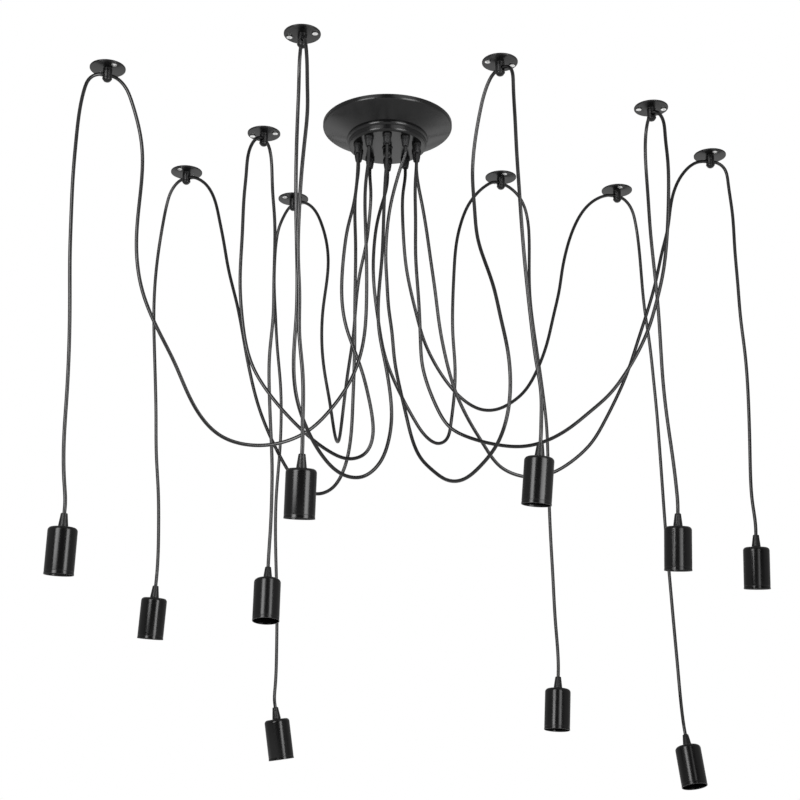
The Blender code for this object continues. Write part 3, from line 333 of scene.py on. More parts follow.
# The hanging cords from the eye to the lamp, made the same way. The last point is the top of the lamp.
DROP_POINTS = {
    1: [
        (-0.453, -0.2, -0.021), (-0.462, -0.204, -0.045), (-0.467, -0.205, -0.085), (-0.469, -0.205, -0.13),
        (-0.47, -0.205, -0.19), (-0.469, -0.204, -0.255), (-0.467, -0.203, -0.32), (-0.463, -0.202, -0.39),
        (-0.46, -0.201, -0.46), (-0.459, -0.2, -0.53), (-0.459, -0.199, -0.6), (-0.455, -0.198, -0.66),
        (-0.452, -0.198, -0.706),
    ],
    2: [
        (-0.383, 0.195, -0.026), (-0.393, 0.201, -0.052), (-0.399, 0.203, -0.09), (-0.404, 0.205, -0.132),
        (-0.408, 0.206, -0.19), (-0.408, 0.206, -0.255), (-0.404, 0.205, -0.32), (-0.399, 0.203, -0.385),
        (-0.395, 0.202, -0.445), (-0.391, 0.201, -0.515), (-0.385, 0.199, -0.575), (-0.381, 0.197, -0.64),
        (-0.381, 0.195, -0.739),
    ],
    3: [
        (-0.199, 0.053, -0.023), (-0.196, 0.062, -0.05), (-0.194, 0.065, -0.09), (-0.19, 0.066, -0.135),
        (-0.188, 0.066, -0.19), (-0.188, 0.066, -0.255), (-0.188, 0.066, -0.32), (-0.192, 0.066, -0.38),
        (-0.191, 0.067, -0.445), (-0.187, 0.067, -0.51), (-0.184, 0.068, -0.56), (-0.183, 0.068, -0.62),
        (-0.184, 0.069, -0.675), (-0.186, 0.069, -0.732),
    ],
    4: [
        (-0.119, -0.316, -0.021), (-0.115, -0.323, -0.052), (-0.113, -0.325, -0.1), (-0.112, -0.326, -0.14),
        (-0.115, -0.326, -0.19), (-0.119, -0.327, -0.25), (-0.121, -0.328, -0.31), (-0.121, -0.329, -0.37),
        (-0.118, -0.329, -0.43), (-0.117, -0.33, -0.485), (-0.112, -0.33, -0.535), (-0.11, -0.33, -0.58),
        (-0.11, -0.331, -0.62), (-0.11, -0.331, -0.655),
    ],
    5: [
        (-0.194, 0.319, -0.024), (-0.204, 0.33, -0.044), (-0.209, 0.336, -0.07), (-0.211, 0.338, -0.105),
        (-0.211, 0.338, -0.15), (-0.207, 0.336, -0.215), (-0.202, 0.335, -0.28), (-0.195, 0.333, -0.345),
        (-0.192, 0.332, -0.41), (-0.193, 0.331, -0.475), (-0.197, 0.33, -0.55), (-0.197, 0.328, -0.62),
        (-0.194, 0.327, -0.69), (-0.191, 0.326, -0.76), (-0.19, 0.325, -0.83), (-0.191, 0.324, -0.89),
        (-0.19, 0.324, -0.923),
    ],
    6: [
        (0.188, -0.226, -0.02), (0.192, -0.231, -0.05), (0.193, -0.236, -0.11), (0.194, -0.239, -0.165),
        (0.196, -0.242, -0.225), (0.198, -0.244, -0.28), (0.201, -0.246, -0.34), (0.205, -0.248, -0.4),
        (0.209, -0.249, -0.45), (0.214, -0.25, -0.5), (0.219, -0.252, -0.545), (0.218, -0.253, -0.59),
        (0.216, -0.254, -0.619),
    ],
    7: [
        (0.225, 0.219, -0.02), (0.24, 0.229, -0.036), (0.249, 0.236, -0.062), (0.252, 0.238, -0.1),
        (0.251, 0.239, -0.155), (0.251, 0.239, -0.215), (0.256, 0.24, -0.275), (0.263, 0.241, -0.335),
        (0.27, 0.242, -0.4), (0.274, 0.243, -0.45), (0.275, 0.244, -0.51), (0.275, 0.245, -0.58),
        (0.276, 0.246, -0.65), (0.278, 0.247, -0.72), (0.28, 0.248, -0.79), (0.282, 0.249, -0.881),
    ],
    8: [
        (0.44, 0.272, -0.025), (0.45, 0.278, -0.055), (0.455, 0.281, -0.105), (0.457, 0.282, -0.155),
        (0.46, 0.283, -0.22), (0.466, 0.284, -0.285), (0.47, 0.285, -0.35), (0.473, 0.285, -0.415),
        (0.475, 0.286, -0.48), (0.477, 0.288, -0.56), (0.479, 0.289, -0.64), (0.482, 0.29, -0.72),
        (0.485, 0.291, -0.795), (0.488, 0.292, -0.865), (0.491, 0.293, -0.93), (0.495, 0.293, -0.971),
    ],
    9: [
        (0.425, -0.038, -0.02), (0.422, -0.03, -0.05), (0.422, -0.025, -0.095), (0.423, -0.024, -0.14),
        (0.424, -0.024, -0.2), (0.427, -0.024, -0.265), (0.43, -0.024, -0.33), (0.431, -0.024, -0.395),
        (0.432, -0.024, -0.46), (0.436, -0.024, -0.525), (0.441, -0.024, -0.583), (0.444, -0.024, -0.63),
        (0.444, -0.024, -0.667),
    ],
    10: [
        (0.58, 0.119, -0.02), (0.588, 0.121, -0.05), (0.592, 0.122, -0.108), (0.592, 0.122, -0.17),
        (0.593, 0.122, -0.235), (0.594, 0.122, -0.3), (0.597, 0.122, -0.355), (0.598, 0.122, -0.41),
        (0.597, 0.122, -0.46), (0.595, 0.122, -0.515), (0.593, 0.123, -0.565), (0.593, 0.123, -0.615),
        (0.595, 0.123, -0.669),
    ],
}


def added(name, data):
    """A new object of the scene, at the origin."""
    item = bpy.data.objects.new(name, data)
    bpy.context.scene.collection.objects.link(item)
    return item


def add_camera():
    data = bpy.data.cameras.new("camera")
    data.lens = CAMERA_LENS
    camera = added("camera", data)
    camera.location = CAMERA_PLACE
    camera.rotation_euler = (math.radians(CAMERA_PITCH), 0, 0)
    bpy.context.scene.camera = camera


# Places and ways of the lights


def unit(vectors):
    return vectors / np.linalg.norm(vectors, axis=-1, keepdims=True)


def heading_vector(degrees):
    angle = math.radians(degrees)
    return np.array([math.cos(angle), math.sin(angle), 0])


def down_vector(light):
    """The way down along a lamp that leans and tips."""
    lean = math.radians(light["lean"])
    tip = math.radians(light["tip"])
    return np.array([math.sin(lean) * math.cos(tip), math.sin(tip), -math.cos(lean) * math.cos(tip)])


def hook_place(light):
    return np.array([*light["place"], 0]) * CEILING_REACH


def eye_place(light):
    return hook_place(light) - [0, 0, EYE_DEPTH]


def gland_place(number):
    return heading_vector(FIRST_GLAND_ANGLE + 360 * number / GLAND_COUNT) * GLAND_RING_RADIUS


def smooth_path(points, start_way, end_way):
    """A clamped cubic spline: slopes that make the second derivative continuous at every point, then
    between two points p, q with slopes a, b over the gap g:
    (1+2s)(1-s)^2 p + s(1-s)^2 g a + s^2(3-2s) q + s^2(s-1) g b, for s from 0 to 1."""
    points = np.array(points)
    gaps = np.linalg.norm(np.diff(points, axis=0), axis=1)
    count = len(points)
    before, after = gaps[:-1, None], gaps[1:, None]
    rises = np.diff(points, axis=0) / gaps[:, None]
    system = np.eye(count)
    inner = np.arange(1, count - 1)
    system[inner, inner - 1] = after[:, 0]
    system[inner, inner] = 2 * (before + after)[:, 0]
    system[inner, inner + 1] = before[:, 0]
    wanted = np.zeros((count, 3))
    wanted[0] = start_way
    wanted[-1] = end_way
    wanted[1:-1] = 3 * (after * rises[:-1] + before * rises[1:])
    slopes = np.linalg.solve(system, wanted)
    stretches = []
    for i, gap in enumerate(gaps):
        s = np.linspace(0, 1, max(math.ceil(gap / PATH_STEP), 2), endpoint=False)[:, None]
        from_start = (1 + 2 * s) * (1 - s) ** 2 * points[i] + s * (1 - s) ** 2 * gap * slopes[i]
        to_end = s**2 * (3 - 2 * s) * points[i + 1] + s**2 * (s - 1) * gap * slopes[i + 1]
        stretches.append(from_start + to_end)
    return np.concatenate(stretches + [points[-1:]])


def loop_path(number, light):
    """From inside the gland's tip down through the loop and up to the middle of the eye."""
    start = gland_place(light["gland"]) - [0, 0, CANOPY_DEPTH + GLAND_LENGTH + TOUCH]
    eye = eye_place(light)
    way = heading_vector(light["heading"])
    points = [start, start - [0, 0, GLAND_LEAD], *LOOP_POINTS[number], eye - way * EYE_LEAD, eye]
    path = smooth_path(points, (0, 0, -1), way)
    return np.concatenate([[start + [0, 0, ENTRY]], path])


def drop_path(number, light):
    """From the middle of the eye down to inside the lamp's cable cone."""
    eye = eye_place(light)
    way = heading_vector(light["heading"])
    down = down_vector(light)
    *route, top = np.array(DROP_POINTS[number])
    path = smooth_path([eye, eye + way * EYE_LEAD, *route, top - down * LAMP_LEAD, top], way, down)
    return np.concatenate([path, [top + down * ENTRY]])


# Meshes: every piece is a grid of points whose columns run round it.


def surface(grid, closed=False, wear=None):
    """Joins a grid of points (rows, columns, 3) with four-sided faces: each point to the next in its
    row, round to the first, and to the row below, round to the first row if closed. Rows that shrink
    to one point close the ends. wear is a share for each row, kept on the mesh. Points that meet are
    then merged, and faces that shrink to nothing dropped."""
    rows, columns = grid.shape[:2]
    row, column = np.mgrid[0 : rows if closed else rows - 1, 0:columns]
    here, below = row * columns, (row + 1) % rows * columns
    beside = (column + 1) % columns
    quads = np.stack([here + column, here + beside, below + beside, below + column], -1).reshape(-1, 4)
    around = np.stack([column, column + 1, column + 1, column], axis=-1) / columns
    across = np.stack([row, row, row + 1, row + 1], axis=-1) / rows
    places = np.stack([around, across], axis=-1).reshape(-1, 4, 2)
    points = grid.reshape(-1, 3)
    a, b, c, d = (points[quads[:, i]] for i in range(4))
    volume = np.einsum("ij,ij->", a, np.cross(b, c)) + np.einsum("ij,ij->", a, np.cross(c, d))
    if volume < 0:
        quads = quads[:, ::-1]
        places = places[:, ::-1]
    mesh = bpy.data.meshes.new("grid")
    mesh.from_pydata(points.tolist(), [], quads.tolist())
    layer = mesh.uv_layers.new(name="round_and_along")
    layer.data.foreach_set("uv", places.astype(np.float32).ravel())
    worn = np.zeros(rows) if wear is None else wear
    attribute = mesh.attributes.new("wear", "FLOAT", "POINT")
    attribute.data.foreach_set("value", np.repeat(worn, columns).astype(np.float32))
    shape = bmesh.new()
    shape.from_mesh(mesh)
    bmesh.ops.remove_doubles(shape, verts=shape.verts, dist=MERGE)
    bmesh.ops.dissolve_degenerate(shape, edges=shape.edges, dist=MERGE)
    shape.to_mesh(mesh)
    shape.free()
    mesh.shade_smooth()
    mesh.set_sharp_from_angle(angle=math.radians(SHARP_ANGLE))
    return mesh


def piece(name, mesh, material, body, replaces=()):
    """An object that rides on a body of the frame, with the finish it is given, and hides the parts it
    replaces.
    """
    mesh.name = name
    mesh.materials.clear()
    mesh.materials.append(material)
    item = added(name, mesh)
    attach(item, body)
    if replaces:
        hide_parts(*replaces)
    return item


def filleted(corners, closed=False, steps=6):
    """A profile from corners (radius, height, fillet, wear). Each fillet is an arc that touches both
    sides of its corner: centre at f / sin(half the corner's angle) along the middle line, from one
    touching point to the other. Wear rises to its value at the middle of the arc. A corner without a
    fillet, at an end or on a nearly straight line stays as it is.
    Returns rows (radius, height, wear)."""
    count = len(corners)
    rows = []
    for i, corner in enumerate(corners):
        radius, height, fillet, wear = (*corner, 0, 0)[:4]
        here = np.array([radius, height])
        back = np.array(corners[i - 1][:2]) - here
        on = np.array(corners[(i + 1) % count][:2]) - here
        room = FILLET_SHARE * min(np.linalg.norm(back), np.linalg.norm(on))
        back, on = unit(back), unit(on)
        half = math.acos(np.clip(back @ on, -1, 1)) / 2
        if not fillet or not (closed or 0 < i < count - 1) or half > math.radians(NEARLY_STRAIGHT / 2):
            rows.append([radius, height, wear])
            continue
        reach = min(fillet / math.tan(half), room)
        size = reach * math.tan(half)
        centre = here + unit(back + on) * size / math.sin(half)
        first = here + back * reach - centre
        last = here + on * reach - centre
        start = math.atan2(first[1], first[0])
        turn = (math.atan2(last[1], last[0]) - start + math.pi) % math.tau - math.pi
        rows += arc(centre, size, start, start + turn, steps, wear)
    return np.array(rows)


def arc(centre, radius, start, end, steps, wear=0):
    """Profile rows round a centre from one angle to another, in radians."""
    share = np.linspace(0, 1, steps + 1)
    angle = start + (end - start) * share
    worn = wear * np.sin(math.pi * share)
    rows = np.column_stack([centre[0] + radius * np.cos(angle), centre[1] + radius * np.sin(angle), worn])
    return rows.tolist()


def turned(profile, sides, reshape=None):
    """The profile (radius, height) carried round the Z axis: (r cos a, r sin a, z). reshape gives a new
    radius from radius, height and angle, for flats, ribs and threads."""
    angle = np.arange(sides) * math.tau / sides
    radius, height, angle = np.broadcast_arrays(profile[:, :1], profile[:, 1:2], angle[None, :])
    if reshape:
        radius = reshape(radius, height, angle)
    return np.stack([radius * np.cos(angle), radius * np.sin(angle), height], axis=-1)


def six_flats(inner, corner=0.965):
    """A reshape for nuts: beyond the inner radius the radius follows a hexagon with blunted corners,
    cos 30 / cos((a mod 60) - 30) of the corner radius."""

    def reshape(radius, height, angle):
        flat = math.cos(math.pi / 6) / np.cos(angle % (math.pi / 3) - math.pi / 6)
        return np.where(radius > inner, np.minimum(radius * flat, radius * corner) / corner, radius)

    return reshape


def waved(beyond, size, phase):
    """A reshape for threads and ribs: past a radius it adds size times cos(phase(height, angle))."""

    def reshape(radius, height, angle):
        return np.where(radius > beyond, radius + size * np.cos(phase(height, angle)), radius)

    return reshape


def tube(path, radius, sides, level):
    """A round tube: path(u) + radius (cos v n + sin v b), where b is the part of the level direction
    across the path and n is across both."""
    way = unit(np.gradient(path, axis=0))
    side = unit(level - (way @ level)[:, None] * way)
    other = np.cross(side, way)
    angle = np.arange(sides) * math.tau / sides
    ring = np.cos(angle)[None, :, None] * other[:, None] + np.sin(angle)[None, :, None] * side[:, None]
    grid = path[:, None] + radius * ring
    caps = np.repeat(path[[0, -1], None], sides, axis=1)
    return np.concatenate([caps[:1], grid, caps[1:]])


def stood(grid, place, down=(0, 0, -1)):
    """Turns the grid so that its -Z points along down, and moves its origin to the place."""
    turn = np.array(Vector((0, 0, -1)).rotation_difference(Vector(down)).to_matrix())
    return grid @ turn.T + np.array(place)


def lathe(profile, sides, place=(0, 0, 0), down=(0, 0, -1), closed=False, reshape=None):
    """The mesh of a profile (radius, height, wear) carried round, standing at its place."""
    return surface(stood(turned(profile, sides, reshape), place, down), closed, profile[:, 2])


def bored(mesh, cutters):
    """The mesh with the cutters' tubes taken out by an exact Boolean."""
    item = added("blank", mesh)
    tools = []
    for grid in cutters:
        tool = added("drill", surface(grid))
        modifier = item.modifiers.new("bore", "BOOLEAN")
        modifier.operation = "DIFFERENCE"
        modifier.solver = "EXACT"
        modifier.object = tool
        tools.append(tool)
    graph = bpy.context.evaluated_depsgraph_get()
    made = bpy.data.meshes.new_from_object(item.evaluated_get(graph))
    for old in (item, *tools):
        bpy.data.objects.remove(old)
    made.set_sharp_from_angle(angle=math.radians(SHARP_ANGLE))
    return made


# Finishes


class Signal:
    """A socket of a node tree. Arithmetic on it adds Math nodes."""

    def __init__(self, nodes, socket):
        self.nodes = nodes
        self.socket = socket

    def maths(self, operation, *values):
        return self.nodes.add("ShaderNodeMath", {"operation": operation}, dict(enumerate(values)))

    def __add__(self, other):
        return self.maths("ADD", self, other)

    def __sub__(self, other):
        return self.maths("SUBTRACT", self, other)

    def __rsub__(self, other):
        return self.maths("SUBTRACT", other, self)

    def __mul__(self, other):
        return self.maths("MULTIPLY", self, other)

    def above(self, low, high):
        """0 below low, 1 above high and smooth between."""
        values = {"Value": self, "From Min": low, "From Max": high}
        return self.nodes.add("ShaderNodeMapRange", {"interpolation_type": "SMOOTHSTEP"}, values)


class Nodes:
    """A node tree that is filled one node at a time."""

    def __init__(self, tree):
        self.tree = tree

    def add(self, kind, settings=None, inputs=None, output=0):
        """Adds a node of a type, with its settings made first and then the values or links of its
        sockets, and gives back one of its outputs."""
        node = self.tree.nodes.new(kind)
        for name, value in (settings or {}).items():
            setattr(node, name, value)
        for name, value in (inputs or {}).items():
            if isinstance(value, Signal):
                self.tree.links.new(value.socket, node.inputs[name])
            else:
                node.inputs[name].default_value = value
        return Signal(self, node.outputs[output])

    def ray(self, kind):
        """1 for rays of one kind, such as those from the camera, and 0 for the others."""
        return self.add("ShaderNodeLightPath", output=f"Is {kind} Ray")

    def blend(self, share, *colours):
        """Mixes two colours, each a link or three numbers."""
        first, second = (colour if isinstance(colour, Signal) else (*colour, 1) for colour in colours)
        return self.add("ShaderNodeMix", {"data_type": "RGBA"}, {0: share, 6: first, 7: second}, output=2)


class Finish(Nodes):
    """A material's nodes, with its one Principled shader."""

    def __init__(self, name, metallic=0.0, specular=0.5):
        self.material = bpy.data.materials.new(name)
        self.material.use_nodes = True
        super().__init__(self.material.node_tree)
        self.shader = self.tree.nodes["Principled BSDF"]
        self.shader.inputs["Metallic"].default_value = metallic
        self.shader.inputs["Specular IOR Level"].default_value = specular
        self.place = self.add("ShaderNodeTexCoord", output="Object")
        self.along = self.add("ShaderNodeTexCoord", output="UV")
        self.wear = self.add("ShaderNodeAttribute", {"attribute_name": "wear"}, output="Fac")

    def noise(self, scale, detail, rough=0.5, place=None):
        values = {"Vector": place or self.place, "Scale": scale, "Detail": detail, "Roughness": rough}
        return self.add("ShaderNodeTexNoise", None, values)

    def set(self, name, value):
        self.tree.links.new(value.socket, self.shader.inputs[name])

    def bump(self, height, strength, depth):
        values = {"Strength": strength, "Distance": depth, "Height": height}
        self.set("Normal", self.add("ShaderNodeBump", None, values))


def baked_paint(name, tone, rough, grain, depth, specular=0.5):
    """Black stoved paint on steel: a fine orange-peel grain, faint clouds in tone and gloss, and the
    film worn thin and brighter on edges."""
    finish = Finish(name, specular=specular)
    clouds = finish.noise(scale=24, detail=3)
    fine = finish.noise(scale=grain, detail=2, rough=0.6)
    worn = (finish.wear * finish.noise(scale=350, detail=4, rough=0.7)).above(0.46, 0.66)
    light = tuple(value * 1.6 for value in tone)
    bare = (0.05, 0.049, 0.048)
    finish.set("Base Color", finish.blend(worn * 0.25, finish.blend(clouds, tone, light), bare))
    finish.set("Roughness", clouds * 0.04 + fine * 0.02 + (rough - 0.03))
    finish.bump(fine, strength=0.2, depth=depth)
    return finish.material


def moulded_plastic(name, tone, rough, grain, depth):
    """Black moulded plastic: a spark-eroded grain with slightly polished edges."""
    finish = Finish(name)
    fine = finish.noise(scale=grain, detail=3, rough=0.65)
    clouds = finish.noise(scale=60, detail=2)
    light = tuple(value * 1.8 for value in tone)
    finish.set("Base Color", finish.blend(fine * 0.7 + finish.wear * 0.3, tone, light))
    finish.set("Roughness", fine * 0.16 + clouds * 0.1 + finish.wear * -0.1 + (rough - 0.13))
    finish.bump(fine, strength=0.7, depth=depth)
    return finish.material


def cord_sheath(name):
    """Extruded black sheath: faint drawn lines along the cord, a soft skin and a little dust."""
    finish = Finish(name, specular=0.7)
    stretched = finish.add("ShaderNodeMapping", None, {"Vector": finish.along, "Scale": (9, 260, 1)})
    lines = finish.noise(scale=1, detail=3, rough=0.6, place=stretched)
    skin = finish.noise(scale=1300, detail=2, rough=0.6)
    dust = finish.noise(scale=70, detail=4, rough=0.7).above(0.5, 0.75)
    colour = finish.blend(lines, (0.004, 0.004, 0.0042), (0.008, 0.008, 0.0085))
    finish.set("Base Color", finish.blend(dust * 0.2, colour, (0.018, 0.0175, 0.017)))
    finish.set("Roughness", skin * 0.05 + dust * 0.05 + lines * 0.03 + 0.09)
    finish.bump(skin * 0.7 + lines * 0.5, strength=0.3, depth=0.00003)
    return finish.material


def plated_metal(name, tone, shade, rough):
    """Bright plated metal: cloudy plating and fine random scuffs."""
    finish = Finish(name, metallic=1.0)
    clouds = finish.noise(scale=180, detail=4, rough=0.6)
    scuffs = finish.noise(scale=2200, detail=3, rough=0.7)
    finish.set("Base Color", finish.blend(clouds.above(0.3, 0.75), tone, shade))
    finish.set("Roughness", clouds * 0.1 + scuffs * 0.08 + (rough - 0.09))
    finish.bump(scuffs, strength=0.2, depth=0.00002)
    return finish.material


def block_plastic(name):
    """Off-white moulded block with a soft grain and faint yellowing."""
    finish = Finish(name)
    fine = finish.noise(scale=1500, detail=2, rough=0.6)
    clouds = finish.noise(scale=90, detail=3)
    finish.set("Base Color", finish.blend(clouds, (0.74, 0.73, 0.69), (0.64, 0.62, 0.55)))
    finish.set("Roughness", fine * 0.15 + clouds * 0.1 + 0.35)
    finish.bump(fine, strength=0.5, depth=0.00004)
    return finish.material


canopy_paint = baked_paint(
    "canopy_paint", (0.0034, 0.0034, 0.0036), rough=0.2, grain=650, depth=0.000006, specular=0.57
)
hook_paint = baked_paint("hook_paint", (0.0045, 0.0045, 0.0048), rough=0.3, grain=1100, depth=0.000006)
lamp_paint = baked_paint("lamp_paint", (0.0028, 0.0027, 0.0028), rough=0.21, grain=800, depth=0.000003)
finial_paint = baked_paint("finial_paint", (0.0034, 0.0034, 0.0036), rough=0.24, grain=900, depth=0.00001)
gland_plastic = moulded_plastic("gland_plastic", (0.007, 0.007, 0.0075), 0.55, grain=1400, depth=0.00003)
cone_plastic = moulded_plastic("cone_plastic", (0.0055, 0.0055, 0.0055), 0.42, grain=1100, depth=0.00006)
insert_plastic = moulded_plastic("insert_plastic", (0.004, 0.004, 0.004), 0.5, grain=1500, depth=0.00004)
sheath = cord_sheath("cord_sheath")
zinc = plated_metal("zinc_plate", tone=(0.98, 0.98, 0.97), shade=(0.92, 0.92, 0.91), rough=0.18)
brass = plated_metal("brass_plate", tone=(0.72, 0.52, 0.22), shade=(0.55, 0.38, 0.15), rough=0.3)
white_block = block_plastic("block_plastic")


# Pieces


def add_cord(name, path, level, body, node):
    mesh = surface(tube(path, CORD_RADIUS, CORD_SIDES, level))
    item = piece(name, mesh, sheath, body, [node])


def add_cords(number, light):
    chord = hook_place(light) - gland_place(light["gland"])
    level = unit(np.array([-chord[1], chord[0], 0]))
    loop = loop_path(number, light)
    add_cord(f"cord_loop_{number:02d}", loop, level, "base", f"loop_cord_{number:02d}")
    level = heading_vector(light["heading"] + 90)
    drop = drop_path(number, light)
    add_cord(f"cord_drop_{number:02d}", drop, level, f"lamp_{number:02d}", f"drop_cord_{number:02d}")


def canopy_profile():
    """The closed section of the spun sheet: up the outside from the rod's hole over the drum's round
    edge, the wall, the bead, the long brim and the upright rim, and back inside."""
    edge_centre = (DRUM_RADIUS - DRUM_EDGE_RADIUS, -CANOPY_DEPTH + DRUM_EDGE_RADIUS)
    edge = arc(edge_centre, DRUM_EDGE_RADIUS, -math.pi / 2, 0, steps=12, wear=WORN)
    bead_centre = (DRUM_RADIUS + BEAD_HEIGHT - BEAD_ROUND, -CANOPY_DEPTH + BEAD_RISE)
    bead_foot = -math.acos(1 - BEAD_HEIGHT / BEAD_ROUND)
    bead = arc(bead_centre, BEAD_ROUND, bead_foot, math.radians(BEAD_START), steps=14, wear=0.4)
    rim_centre = (CANOPY_RADIUS - RIM_EDGE_RADIUS, -RIM_HEIGHT + RIM_EDGE_RADIUS)
    rim = arc(rim_centre, RIM_EDGE_RADIUS, math.radians(RIM_EDGE_END), 0, steps=14, wear=RUBBED)
    run = rim[0][0] - bead[-1][0]
    fall = rim[0][1] - bead[-1][1]
    slope = fall / run
    across = SHEET * math.hypot(run, fall) / run
    hole = ROD_RADIUS + ROD_CLEARANCE
    inner_top = CANOPY_RADIUS - SHEET
    inner_foot = DRUM_RADIUS - SHEET
    inside = [
        (CANOPY_RADIUS - THIN, -RIM_BEVEL),
        (CANOPY_RADIUS - RIM_BEVEL, 0),
        (inner_top, 0),
        (inner_top, rim[0][1] - (rim[0][0] - inner_top) * slope + across),
        (inner_foot, bead[-1][1] - (bead[-1][0] - inner_foot) * slope + across),
        (inner_foot, edge_centre[1]),
        (edge_centre[0], -CANOPY_DEPTH + SHEET),
        (hole, -CANOPY_DEPTH + SHEET),
        (hole, -CANOPY_DEPTH),
    ]
    return np.array(edge + bead + rim + [[radius, height, 0] for radius, height in inside])


def nut_profile(bore, radius, low, high, edge, lower=FULL_EDGE, upper=FULL_EDGE, wear=RUBBED):
    """The closed section of a nut, with fillets at its bore and at its lower and upper rim."""
    corners = [(bore, low, edge), (radius, low, lower, wear), (radius, high, upper, wear), (bore, high, edge)]
    return filleted(corners, closed=True)


def add_gland(number):
    """One cord gland: a body with its stem through the face, a nut below and a lock nut above."""
    place = gland_place(number) - [0, 0, CANOPY_DEPTH]
    foot = -GLAND_LENGTH
    seat = -GLAND_NUT_HEIGHT
    stem_top = SHEET + GLAND_LOCK_HEIGHT + GLAND_STEM_END
    corners = [
        (0, stem_top),
        (GLAND_STEM_RADIUS, stem_top, SOFT_EDGE),
        (GLAND_STEM_RADIUS, seat - THIN),
        (GLAND_NECK_RADIUS, seat - THIN, FINE_EDGE, WORN),
        (GLAND_NECK_RADIUS, seat - GLAND_GROOVE_TOP, EDGE),
        (GLAND_NECK_RADIUS - GLAND_GROOVE_DEPTH, seat - GLAND_GROOVE_MIDDLE, FINE_EDGE),
        (GLAND_NECK_RADIUS - GLAND_GROOVE_DEPTH / 2, seat - GLAND_GROOVE_FOOT, EDGE, WORN),
        (GLAND_TIP_RADIUS, foot, BROAD_EDGE, RUBBED),
        (CORD_HOLE_RADIUS, foot, SOFT_EDGE, 0.4),
        (CORD_HOLE_RADIUS, foot + CORD_HOLE_DEPTH),
        (0, foot + CORD_HOLE_DEPTH),
    ]
    body = filleted(corners)
    piece(f"gland_body_{number:02d}", lathe(body, 48, place), gland_plastic, "base")
    bore = GLAND_STEM_RADIUS + THIN
    for name, radius, low, high in (
        ("gland_nut", GLAND_NUT_RADIUS, seat + THIN, -THIN),
        ("gland_lock_nut", GLAND_LOCK_RADIUS, SHEET + THIN, SHEET + GLAND_LOCK_HEIGHT),
    ):
        ring = nut_profile(bore, radius, low, high, edge=0, upper=SOFT_EDGE, wear=WORN)
        mesh = lathe(ring, 72, place, closed=True, reshape=six_flats(bore + NUT_BORE_EDGE))
        piece(f"{name}_{number:02d}", mesh, gland_plastic, "base")


def finial_profile():
    """The cap nut below the face: a flange, a body that draws in under it, a dome and the rod's bore."""
    top = -CANOPY_DEPTH - TOUCH
    dome_foot = top - FINIAL_HEIGHT + FINIAL_RADIUS
    bore = ROD_RADIUS + ROD_CLEARANCE
    corners = [
        (0, -CANOPY_DEPTH - FINIAL_BORE_DEPTH),
        (bore, -CANOPY_DEPTH - FINIAL_BORE_DEPTH),
        (bore, top, EDGE),
        (FINIAL_FLANGE_RADIUS, top, SOFT_EDGE, RUBBED),
        (FINIAL_FLANGE_RADIUS, top - FINIAL_FLANGE_HEIGHT, ROUND_EDGE, 0.8),
        (FINIAL_RADIUS, top - FINIAL_FLANGE_HEIGHT - FINIAL_NECK, FINIAL_NECK_EDGE),
        (FINIAL_RADIUS, dome_foot + FINIAL_DOME_LEAD),
    ]
    upper = filleted(corners)
    return np.concatenate([upper, arc((0, dome_foot), FINIAL_RADIUS, 0, -math.pi / 2, steps=16)])


def add_rod():
    """The threaded rod: radius + half the depth of the thread times cos(turn of the height - angle)."""
    foot = -CANOPY_DEPTH - FINIAL_BORE_DEPTH + TOUCH
    top = -BAR_THICKNESS - TOUCH
    heights = np.linspace(top, foot, round((top - foot) / ROD_PITCH) * ROD_ROWS_PER_TURN)[2:-2]
    end = ROD_RADIUS - 2 * ROD_THREAD_WAVE
    threaded = [[ROD_RADIUS - ROD_THREAD_WAVE, height, 0] for height in heights]
    profile = np.array([[0, top, 0], [end, top, 0], *threaded, [end, foot, 0], [0, foot, 0]])
    beyond = ROD_RADIUS - 1.5 * ROD_THREAD_WAVE
    thread = waved(beyond, ROD_THREAD_WAVE, lambda height, angle: math.tau * height / ROD_PITCH - angle)
    mesh = lathe(profile, 32, reshape=thread)
    piece("threaded_rod", mesh, zinc, "base", ["mounting_rod"])


def add_lock_nut():
    top = -BAR_THICKNESS - BOSS_HEIGHT - TOUCH
    bore = ROD_RADIUS + THIN
    ring = nut_profile(bore, LOCK_NUT_RADIUS, top - LOCK_NUT_HEIGHT, top, edge=EDGE)
    mesh = lathe(ring, 96, closed=True, reshape=six_flats(bore + NUT_BORE_EDGE))
    piece("rod_lock_nut", mesh, brass, "base", ["lock_nut"])


def screw(head_radius, head_height, shank_radius, shank_length, recess_width, place):
    """A pan-head screw that points up: the head is a low dome whose face has a cross recess. The recess
    is the greater of two arms, each its depth times the fall-off along the arm and across it."""
    share = np.linspace(0, 1, 26)
    dome = head_height * (HEAD_RIM_SHARE + (1 - HEAD_RIM_SHARE) * np.sqrt(1 - share**4))
    rows = [[head_radius * s, -height] for s, height in zip(share, dome)]
    rows += [[head_radius, -1.5 * HEAD_BEVEL], [head_radius - HEAD_BEVEL, 0], [shank_radius, 0]]
    rows += [[shank_radius, shank_length], [0, shank_length]]
    grid = turned(np.array(rows), 72)

    def arm(along, across):
        run = np.clip(1 - np.abs(along) / (head_radius * RECESS_REACH), 0, 1) ** RECESS_TAPER
        wide = np.clip((recess_width / 2 - np.abs(across)) / RECESS_EDGE + 0.5, 0, 1)
        return run * wide

    face = grid[: len(share)]
    x, y = face[..., 0], face[..., 1]
    face[..., 2] += np.maximum(arm(x, y), arm(y, x)) * head_height * RECESS_DEPTH
    return surface(stood(grid, place))


